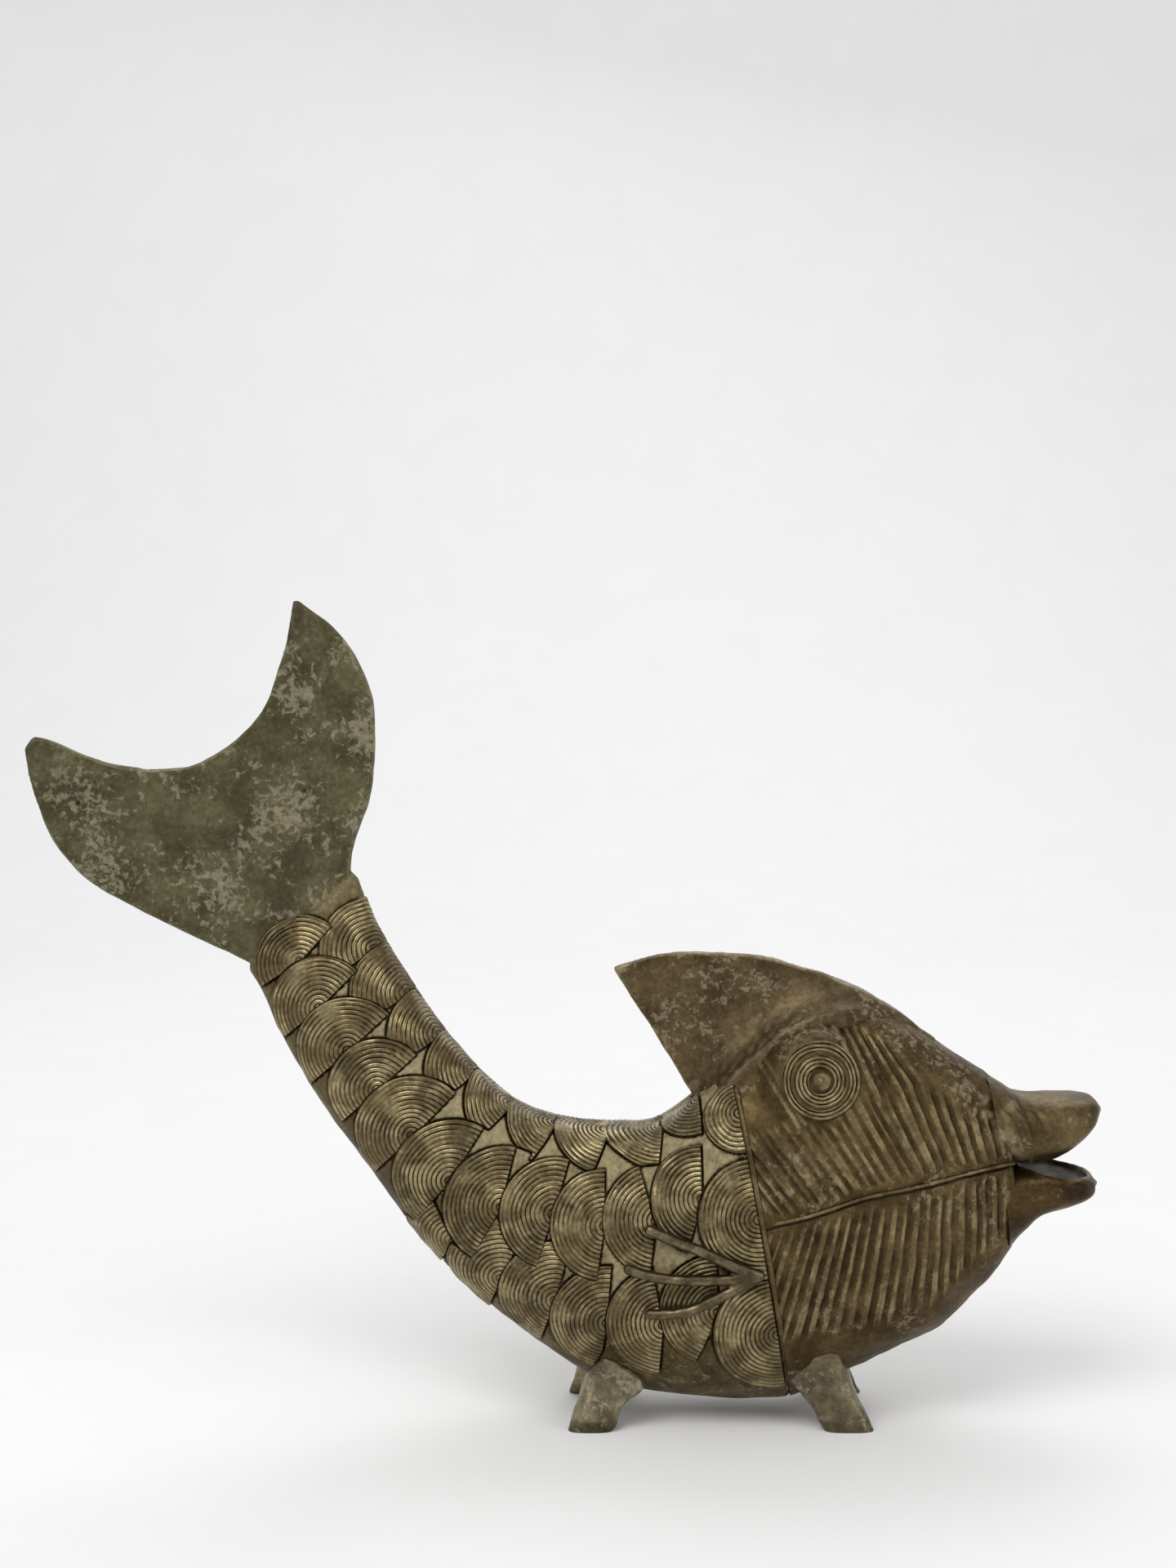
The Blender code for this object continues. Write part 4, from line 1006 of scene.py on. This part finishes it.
def make_tail():
    """Forked tail: a hand-cut plate that thickens into the tail root."""
    x, z, lean, _, _ = sections(np.array(0.0))
    up = slanting(lean)
    out = np.array([-up[1], up[0]])
    root = np.array([x, z])
    knots = [root + (out * away + up * across) * mm for away, across in TAIL_OUTLINE]
    points, normals, faces, rim = cast_plate(knots, TAIL_CORNERS, TAIL_THICKNESS, 14 * mm, 31)
    flat = points[:, (0, 2)]
    away = (flat - root) @ out
    across = (flat - root) @ up
    # The plate swells into the stalk, and is a little thicker along its middle than at its edge
    swell = 1.3 * mm * np.exp(-np.maximum(away, 0) / (6 * mm)) * ease(24 * mm, 8 * mm, np.abs(across))
    body = 0.35 * mm * ease(0, 9 * mm, rim)
    points[:, 1] *= 1 + (swell + body) / (TAIL_THICKNESS / 2)
    lift = lumps(points, 15 * mm, 32) * 0.2 + lumps(points, 5 * mm, 33) * 0.07
    lift = lift - 0.25 * ease(0.5, 1.6, lumps(points, 7 * mm, 34))
    # Both tips are dark and smooth
    tips = [root + (out * tip_away + up * tip_across) * mm for tip_away, tip_across in TAIL_TIPS]
    tip = np.min([np.linalg.norm(flat - point, axis=1) for point in tips], axis=0)
    relief = 0.36 + 0.2 * ease(6 * mm, 20 * mm, tip) + 0.25 * (1 - ease(0.2 * mm, 1.0 * mm, rim))
    # Each pinhole is a dent whose relief falls to nothing, so that painted shade fills it
    for hole in PINHOLES:
        near = np.linalg.norm(flat / mm - hole, axis=1)
        dent = np.exp(-(near / PINHOLE_RADIUS) ** 2)
        lift = lift - PINHOLE_DEPTH * dent
        relief = relief * (1 - dent)
    points = points + normals * (lift * mm)[:, None]
    make_piece("tail_plate", points, faces, FIN_BRASS, ["tail_fin"], "fin", relief=relief)


def make_crest():
    """Crest: a plate with its foot smoothed out over the head."""
    knots = np.array(CREST_OUTLINE) * mm
    points, normals, faces, rim = cast_plate(knots, CREST_CORNERS, CREST_THICKNESS, 12 * mm, 41)
    flat = points[:, (0, 2)]
    along = np.linspace(HEEL - 6 * mm, MOUTH, 160)
    ridge = skin(along, quarter(along), RIGHT)[:, (0, 2)]
    above = flat[:, 1] > np.interp(flat[:, 0], ridge[:, 0], ridge[:, 1])
    over = np.where(above, line_distance(flat, ridge, closed=False), 0.0)
    # The foot spreads wide at the head, and fades at the crest's heel and towards the forehead
    foot = 5.5 * mm * np.exp(-over / (8 * mm)) + 6.0 * mm * np.exp(-over / (2 * mm))
    foot = foot * ease(35 * mm, 46 * mm, flat[:, 0]) * ease(103 * mm, 74 * mm, flat[:, 0])
    points[:, 1] *= 1 + (foot + 0.3 * mm * ease(0, 8 * mm, rim)) / (CREST_THICKNESS / 2)
    lift = lumps(points, 13 * mm, 42) * 0.2 + lumps(points, 5 * mm, 43) * 0.07
    relief = 0.55 + 0.35 * (1 - ease(0.2 * mm, 1.0 * mm, rim))
    points = points + normals * (lift * mm)[:, None]
    # Thin pale residue round the foot
    stain = ease(12 * mm, 2 * mm, over) * ease(90 * mm, 60 * mm, flat[:, 0])
    stain = 0.5 * stain * ease(-0.6, 1.0, lumps(points, 2.5 * mm, 44))
    make_piece("crest_plate", points, faces, CREST_BRASS, ["crest_fin"], "fin",
               relief=relief, patch=stain)


# Lips

# From the mouth forward: reach, height over the mouth line, lean, half height, half width,
# in millimetres and degrees
UPPER_LIP = [
    (0.0, 10.2, 97.5, 10.8, 13.6),
    (5.5, 7.9, 95.0, 9.8, 14.0),
    (14.0, 7.6, 90.0, 8.9, 14.4),
    (20.3, 8.6, 86.0, 6.8, 13.2),
    (24.8, 9.5, 82.0, 4.6, 10.2),
    (27.5, 10.0, 80.0, 2.0, 5.6),
]
LOWER_LIP = [
    (0.0, -12.0, 97.5, 10.4, 13.6),
    (6.5, -9.9, 95.0, 7.4, 14.2),
    (13.0, -9.7, 92.0, 5.7, 14.6),
    (18.5, -10.2, 90.0, 4.0, 13.2),
    (22.2, -10.5, 88.0, 2.8, 9.6),
    (24.1, -10.6, 86.0, 1.3, 4.8),
]
# Start of a lip inside the head: reach, and how far it stands out past the head's own section
LIP_ROOT = ((-3.5, 2.6), (-0.5, 0.1))
# Length of a lip's rounded tip
LIP_ROUND = 3.0 * mm
# Spoon-shaped hollow, which leaves only a narrow rim
SPOON_REACH = 12.0 * mm
SPOON_LENGTH = 19.0 * mm
SPOON_WIDTH = 25.0 * mm
SPOON_DEPTH = 4.4 * mm
# Curved grooves at the root of the upper lip, in millimetres: x and z of both ends
LIP_GROOVES = [(124.1, 93.3, 128.6, 79.6), (120.7, 90.5, 126.3, 78.4), (127.5, 90.5, 131.9, 82.3)]


def grid_normals(rings):
    """Outward directions of rings of points."""
    onward = np.gradient(rings, axis=0)
    around = np.roll(rings, -1, axis=1) - np.roll(rings, 1, axis=1)
    normal = unit(np.cross(onward, around))
    out = rings - rings.mean(axis=1, keepdims=True)
    return normal * np.sign(np.sum(normal * out, axis=(1, 2), keepdims=True))


def lip_rings(rows, sides, count, top_squareness=SQUARENESS):
    """Rings of a lip from just inside the head to its rounded tip, with the distance forward and
    the height over the middle of the lip at each point."""
    # The root follows the end of the head from a little inside it, so that no step shows
    _, height, lean, half_height, _ = rows[0]
    *_, head_height, head_width = BODY_SECTIONS[-1]
    inner = abs(height) - half_height
    root = []
    for reach, grow in LIP_ROOT:
        outer = head_height + grow
        middle = math.copysign((outer + inner) / 2, height)
        root.append((reach, middle, lean, (outer - inner) / 2, head_width + 0.35 * grow))
    line = smooth_line(np.array(root + rows[1:]) * (mm, mm, 1.0, mm, mm), steps=12)
    begin = LIP_ROOT[0][0] * mm
    end = rows[-1][0] * mm + 0.6 * mm
    share = np.linspace(0, 1, count)
    reach = begin + (end - begin) * (1 - (1 - share) ** 2)
    height, lean, half_height, half_width = (
        np.interp(reach, line[:, 0], line[:, k])[:, None] for k in range(1, 5)
    )
    past = np.maximum(reach - end + LIP_ROUND, 0) / LIP_ROUND
    round_off = np.sqrt(np.maximum(1 - past**2, 0.0004))
    turn = np.linspace(0, 2 * math.pi, sides, endpoint=False)
    c, s = np.cos(turn), np.sin(turn)
    across = half_width * round_off[:, None] * squared(c, SQUARENESS)
    over = half_height * round_off[:, None] * squared(s, np.where(s > 0, top_squareness, SQUARENESS))
    x, z, mouth_lean, _, _ = sections(np.array(MOUTH))
    up = slanting(mouth_lean)
    lean = np.radians(lean)
    reach = reach[:, None]
    along = x + up[1] * reach + up[0] * height + np.cos(lean) * over
    level = z - up[0] * reach + up[1] * height + np.sin(lean) * over
    return np.stack([along, across, level], axis=-1), reach + 0 * over, over


def make_upper_lip():
    """Smooth upper lip, with curved grooves at its root."""
    rings, reach, _ = lip_rings(UPPER_LIP, 72, 56)
    x, z = rings[..., 0] / mm, rings[..., 2] / mm
    cut = np.zeros(x.shape)
    for x0, z0, x1, z1 in LIP_GROOVES:
        bow = 1.2 * np.sin(np.clip((z0 - z) / (z0 - z1), 0, 1) * math.pi)
        far, share = near_stroke(x - bow, z, x0, z0, x1, z1)
        deep = ease(0, 0.2, share) * ease(0, 0.3, 1 - share)
        cut = np.maximum(cut, deep * (1 - ease(0.2, 1.1, far)))
    lift = -0.6 * cut + lumps(rings, 12 * mm, 51) * 0.25 + lumps(rings, 5 * mm, 52) * 0.06
    rings = rings + grid_normals(rings) * (lift * mm)[..., None]
    stain = ease(9 * mm, 1 * mm, reach) * ease(-0.2, 0.6, lumps(rings, 5 * mm, 55)) * (1 - cut)
    # Lower relief in the grooves at the root paints shade into them
    make_rings("upper_lip_cast", rings, LIP_BRASS, ["upper_lip"], "fin",
               relief=0.62 - 0.42 * cut, patch=0.6 * stain)


def make_lower_lip():
    """Lower lip with its spoon-shaped hollow."""
    rings, reach, over = lip_rings(LOWER_LIP, 120, 72, 5.0)
    length = (reach - SPOON_REACH) / (SPOON_LENGTH / 2)
    width = rings[..., 1] / (SPOON_WIDTH / 2)
    bowl = np.sqrt(np.maximum(1 - length**2 - width**2, 0)) * ease(0.5, 1.0, over / (0.7 * mm))
    edge = 1 - ease(0.0, 0.16, np.abs(np.hypot(length, width) - 1.08))
    rings = rings - np.array([0, 0, 1.0]) * (bowl * SPOON_DEPTH)[..., None]
    lift = lumps(rings, 10 * mm, 53) * 0.2 + lumps(rings, 4 * mm, 54) * 0.06
    lift = lift + 0.25 * edge * (over > 0)
    rings = rings + grid_normals(rings) * (lift * mm)[..., None]
    # Low relief paints shade into the hollow of the spoon, and the raised rim gets a painted highlight
    relief = 0.38 - 0.32 * ease(0, 0.6, bowl) + 0.5 * edge * (over > 0)
    make_rings("lower_lip_cast", rings, SHADED_JAW_BRASS, ["lower_lip"], "fin", relief=relief)


# Eyes

def eye_profile():
    """Radius and height of an eye's coil from its middle out, then down its side into the head."""
    step = 0.13 * mm
    rim = 0.3 * mm
    top = EYE_HEIGHT + EYE_TIER_HEIGHT
    tier = np.arange(0.1 * mm, EYE_TIER_RADIUS - rim, step)
    ledge = np.arange(EYE_TIER_RADIUS + 0.35 * mm, EYE_RADIUS - rim, step)
    bend = np.linspace(0.2, math.pi / 2, 5)
    round_off = rim * np.sin(bend)
    fall = 0.4 * mm * (1 - np.cos(bend))
    radius = np.concatenate([
        tier, EYE_TIER_RADIUS - rim + round_off, [EYE_TIER_RADIUS + 0.05 * mm],
        ledge, EYE_RADIUS - rim + round_off, [EYE_RADIUS, EYE_RADIUS],
    ])
    level = np.concatenate([
        np.full(len(tier), top), top - fall, [EYE_HEIGHT + 0.1 * mm],
        np.full(len(ledge), EYE_HEIGHT), EYE_HEIGHT - fall, [0, -EYE_SEAT],
    ])
    return radius[:, None], level[:, None]


def make_eye_coil(word, side):
    """Thread coiled round the middle of an eye, in two tiers."""
    radius, level = eye_profile()
    across = (radius / EYE_PITCH + side * EYE_TURN / (2 * math.pi)) % 1
    thread = np.sqrt(np.maximum(1 - (2 * across - 1) ** 2, 0))
    thread = np.where((radius > EYE_TIER_RADIUS) & (radius < EYE_PLAIN), 0.75, thread)
    upward = (level > EYE_HEIGHT - 0.3 * mm) * np.ones_like(thread)
    turn = EYE_TURN + 0 * radius
    place = eye_points(side, radius + 0 * turn, turn, level + 0 * turn)
    level = level - GROOVE_DEPTH * (1 - thread) * upward + lumps(place, 6 * mm, 61) * 0.12 * mm
    radius = radius + lumps(place, 8 * mm, 62) * 0.15 * mm * (radius > 9 * mm)
    # Low relief in the grooves between the threads and on the side wall of the disc paints shade there
    make_rings(word + "_eye_rings", eye_points(side, radius, turn, level), SCALE_BRASS,
               [word + "_eye_coil"], "scale", relief=0.9 * thread * upward)


def make_eye_cone(word, side):
    """Small pointed cone on the middle of an eye."""
    share = np.linspace(0, 1, 22)[:, None] + 0 * EYE_TURN
    radius = np.maximum(CONE_RADIUS * share**0.9, 0.05 * mm)
    low = EYE_HEIGHT + EYE_TIER_HEIGHT - CONE_SUNK
    level = low + (CONE_HEIGHT + CONE_SUNK) * (1 - share**1.35)
    rings = eye_points(side, radius, EYE_TURN + 0 * share, level)
    rings = rings + grid_normals(rings) * (lumps(rings, 3 * mm, 63) * 0.12 * mm)[..., None]
    make_rings(word + "_eye_stud", rings, SCALE_BRASS, [word + "_eye_cone"], "thread",
               relief=0.5 + 0.5 * ease(0.75, 0.35, share))


def make_eyes():
    """A coil with a cone on it, on each side of the head."""
    for word, side in SIDES.items():
        make_eye_coil(word, side)
        make_eye_cone(word, side)


# Threads and rods

GILL_THREAD_TOP = 44.0 * mm
GILL_THREAD_BOTTOM = -24.0 * mm
# The gill thread fills the gap behind the head, in front of the first scales
GILL_THREAD_BACK = 0.3 * mm
MOUTH_THREAD_REAR = 55.6 * mm
MOUTH_THREAD_FRONT = 123.4 * mm
THREAD_STEPS = 150
# Radius of a rod at its root, the share of it that is left at its tip, and its height
ROD_RADIUS = 1.656 * mm
ROD_TIP = 0.85
ROD_LIFT = 3.75 * mm
# Root of the rods and bends of the upper, middle and lower rod, in millimetres: distance along the
# body from the gill, and rise
ROD_ROOT = (-3.5, -5.4)
RODS = [
    [(-18.0, 4.2), (-27.0, 8.5), (-34.5, 11.4)],
    [(-14.0, -4.0), (-27.0, -1.9), (-38.5, 0.5)],
    [(-14.0, -8.6), (-22.0, -11.2), (-31.0, -11.3)],
]
ROD_VOXEL = 0.36 * mm


def on_cheek(x, z):
    """Distance along the body and rise of points seen from the side, by a few Newton steps."""
    along = np.interp(x, ROWS[:, 0], LENGTHS)
    rise = z - sections(along)[1]
    step = 0.2 * mm
    for _ in range(8):
        here = skin(along, rise, RIGHT)
        by_along = (skin(along + step, rise, RIGHT) - here) / step
        by_rise = (skin(along, rise + step, RIGHT) - here) / step
        miss_x, miss_z = x - here[..., 0], z - here[..., 2]
        size = by_along[..., 0] * by_rise[..., 2] - by_along[..., 2] * by_rise[..., 0]
        along = along + (miss_x * by_rise[..., 2] - miss_z * by_rise[..., 0]) / size
        rise = rise + (by_along[..., 0] * miss_z - by_along[..., 2] * miss_x) / size
    return along, rise


def press_thread(name, node, along, rise, side, lift, thickness, low_relief, rubbed_relief):
    """Thread laid on the skin at a height over it. Its thickness is a radius, how far that
    wavers, both in millimetres, the length of a wave and a seed."""
    path = lifted(along, rise, side, lift)
    out = skin_normal(along, rise, side)
    radius, waver, wave, seed = thickness
    rings = tube_rings(path, (radius + waver * lumps(path, wave, seed)) * mm, out)
    # Faces that do not point out from the skin keep the low relief, painted in shade
    make_rings(name, rings, HEAD_BRASS, [node], "thread",
               relief=low_relief + rubbed_relief * worn_side(rings, out))


def make_threads():
    """A thread along the gill and one along the mouth line, pressed on by hand."""
    for word, side in SIDES.items():
        rise = np.linspace(GILL_THREAD_TOP, GILL_THREAD_BOTTOM, THREAD_STEPS)
        press_thread(word + "_gill_cord", word + "_gill_thread", GILL - GILL_THREAD_BACK, rise, side,
                     1.2 * mm, (0.85, 0.08, 8 * mm, 71), 0.36, 0.36)

        x = np.linspace(MOUTH_THREAD_REAR, MOUTH_THREAD_FRONT, THREAD_STEPS)
        z = np.interp(x / mm, *MOUTH_LINE.T) * mm
        z = np.convolve(np.pad(z, 12, mode="edge"), np.ones(25) / 25, mode="valid")
        along, rise = on_cheek(x, z)
        press_thread(word + "_mouth_cord", word + "_mouth_thread", along, rise, side,
                     0.4 * mm, (0.52, 0.1, 5 * mm, 72), 0.25, 0.5)


def worn_side(rings, out):
    """Share of each point of a tube that faces away from the body, where hands rub it."""
    out = lengthened(out, END_RINGS - 1)
    away = unit(rings - rings.mean(axis=1, keepdims=True))
    return ease(-0.4, 0.9, np.sum(away * out[:, None], axis=-1))


def make_pectoral_fins():
    """Three rods rolled by hand and pressed together at their root, on each side."""
    for word, side in SIDES.items():
        bm = bmesh.new()
        for number, bends in enumerate(RODS):
            line = smooth_line(np.array([ROD_ROOT, *bends]) * mm, steps=16)
            path = lifted(GILL + line[:, 0], line[:, 1], side, ROD_LIFT)
            out = skin_normal(GILL + line[:, 0], line[:, 1], side)
            taper = (ROD_TIP - 1) * np.linspace(0, 1, len(line))
            radii = ROD_RADIUS * (1 + taper + 0.07 * lumps(path, 6 * mm, 81 + number))
            rings = tube_rings(path, radii, out, 24)
            rows, columns, _ = rings.shape
            verts = [bm.verts.new(point) for point in capped(rings)]
            for face in ring_faces(rows, columns):
                bm.faces.new([verts[k] for k in face])
        points, normals, faces = voxel_skin(bm, ROD_VOXEL)
        # Faces that do not point out from the body keep a low relief, painted in shade
        relief = 0.32 + 0.5 * ease(-0.1, 0.9, normals[:, 1] * side)
        points = points + normals * (lumps(points, 3 * mm, 85) * 0.06 * mm)[:, None]
        make_piece(word + "_fin_rods", points, faces, DARK_SHADED_ROD_BRASS, [word + "_pectoral_fin"], "thread",
                   relief=relief)


# Legs

LEG_SQUARENESS = 3.2


def make_legs():
    """Four legs pinched from wax: soft edges, a pitted skin and flat soles."""
    turn = np.linspace(0, 2 * math.pi, 72, endpoint=False)
    c, s = np.cos(turn), np.sin(turn)
    for place, rows in (("rear", REAR_LEG), ("front", FRONT_LEG)):
        line = smooth_line(rows, steps=12)
        for word, side in SIDES.items():
            height, rear, front, outside, inside = line.T[..., None]
            x = (front + rear) / 2 + (front - rear) / 2 * squared(c, LEG_SQUARENESS)
            y = (outside + inside) / 2 + (outside - inside) / 2 * squared(s, LEG_SQUARENESS)
            rings = np.stack([x, side * y, height + 0 * x], axis=-1)
            free = ease(0, 1.5 * mm, rings[..., 2])
            lift = lumps(rings, 9 * mm, 91) * 0.4 + lumps(rings, 3.5 * mm, 92) * 0.14
            lift = lift - 0.35 * ease(0.7, 1.7, lumps(rings, 4 * mm, 93))
            rings = rings + grid_normals(rings) * (lift * free * mm)[..., None]
            rings[..., 2] = np.maximum(rings[..., 2], 0)
            # Lower relief near the floor paints shade where the foot meets it
            relief = 0.34 + 0.4 * ease(0, 4 * mm, rings[..., 2])
            # Towards the top the leg takes on the colour of the body
            top = 0.65 * ease(11 * mm, 21 * mm, rings[..., 2])
            make_rings(f"{word}_{place}_foot", rings, LEG_BRASS, [f"{word}_{place}_leg"], "leg",
                       relief=relief, patch=top)


# The object

makers = (make_scales, make_trunk, make_head, make_tail, make_crest, make_upper_lip,
          make_lower_lip, make_eyes, make_threads, make_pectoral_fins, make_legs)
for make in makers:
    make()

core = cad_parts["clay_core"]
core.data.materials.clear()
core.data.materials.append(fired_clay())


# Camera, floor and light

def make_camera():
    """Camera at the photograph's viewing angle."""
    camera = put_in_scene("camera", bpy.data.cameras.new("camera"))
    camera.location = (0.00594, -0.657, 0.2221)
    camera.rotation_euler = (math.radians(86.2), 0, 0)
    camera.data.lens = 54.04
    camera.data.clip_start = 0.01
    bpy.context.scene.camera = camera


# Studio sweep, in metres: half its width and length, where it starts to curve up and how tightly,
# and the top of the backdrop
SWEEP_HALF = 3.0
SWEEP_START = 0.9
SWEEP_RADIUS = 0.6
SWEEP_TOP = 3.5
# Size of the faint unevenness of its paper
PAPER_CLOUDS = 40 * mm


def make_floor():
    """Sweep of matt white paper, which gives the eye an even pale ground and a soft shadow."""
    bm = bmesh.new()
    profile = [(-SWEEP_HALF, 0.0)]
    for bend in np.linspace(0, math.pi / 2, 24):
        profile.append((SWEEP_START + SWEEP_RADIUS * math.sin(bend), SWEEP_RADIUS * (1 - math.cos(bend))))
    profile.append((SWEEP_START + SWEEP_RADIUS, SWEEP_TOP))
    left = [bm.verts.new((-SWEEP_HALF, y, z)) for y, z in profile]
    right = [bm.verts.new((SWEEP_HALF, y, z)) for y, z in profile]
    for k in range(len(profile) - 1):
        bm.faces.new((left[k], right[k], right[k + 1], left[k + 1]))
    mesh = bpy.data.meshes.new("floor")
    bm.to_mesh(mesh)
    bm.free()
    mesh.shade_smooth()
    floor = put_in_scene("floor", mesh)
    material, tree, shader, place = new_material("matt_studio_paper")
    cloud = add(tree, "ShaderNodeTexNoise", {"Vector": place, "Scale": 1 / PAPER_CLOUDS, "Detail": 3})
    inputs = {0: cloud.outputs["Fac"], 6: srgb("#f4f4f4"), 7: srgb("#f8f8f8")}
    colour = add(tree, "ShaderNodeMix", inputs, data_type="RGBA")
    tree.links.new(colour.outputs[2], shader.inputs["Base Color"])
    shader.inputs["Roughness"].default_value = 0.9
    shader.inputs["Specular IOR Level"].default_value = 0.2
    mesh.materials.append(material)


def make_lamp(name, place, target, size, power):
    """Square soft lamp that points at a target."""
    lamp = put_in_scene(name, bpy.data.lights.new(name, "AREA"))
    lamp.data.size = size
    lamp.data.energy = power
    lamp.location = place
    lamp.rotation_euler = (Vector(target) - Vector(place)).to_track_quat("-Z", "Y").to_euler()


def make_light():
    """Soft daylight from above and both sides, and an even pale world."""
    middle = (0.0, 0.0, 0.1)
    make_lamp("key_lamp", (-0.5, -0.9, 1.3), middle, 0.9, 11.0)
    make_lamp("fill_lamp", (1.1, -0.9, 0.6), middle, 0.9, 3.5)
    make_lamp("back_lamp", (0.2, 0.9, 1.2), middle, 0.9, 5.0)
    world = bpy.data.worlds.new("studio")
    world.use_nodes = True
    world.node_tree.nodes["Background"].inputs["Color"].default_value = srgb("#ffffff")
    world.node_tree.nodes["Background"].inputs["Strength"].default_value = 0.55
    bpy.context.scene.world = world


make_camera()
make_floor()
make_light()
bpy.context.scene.view_settings.view_transform = "Standard"
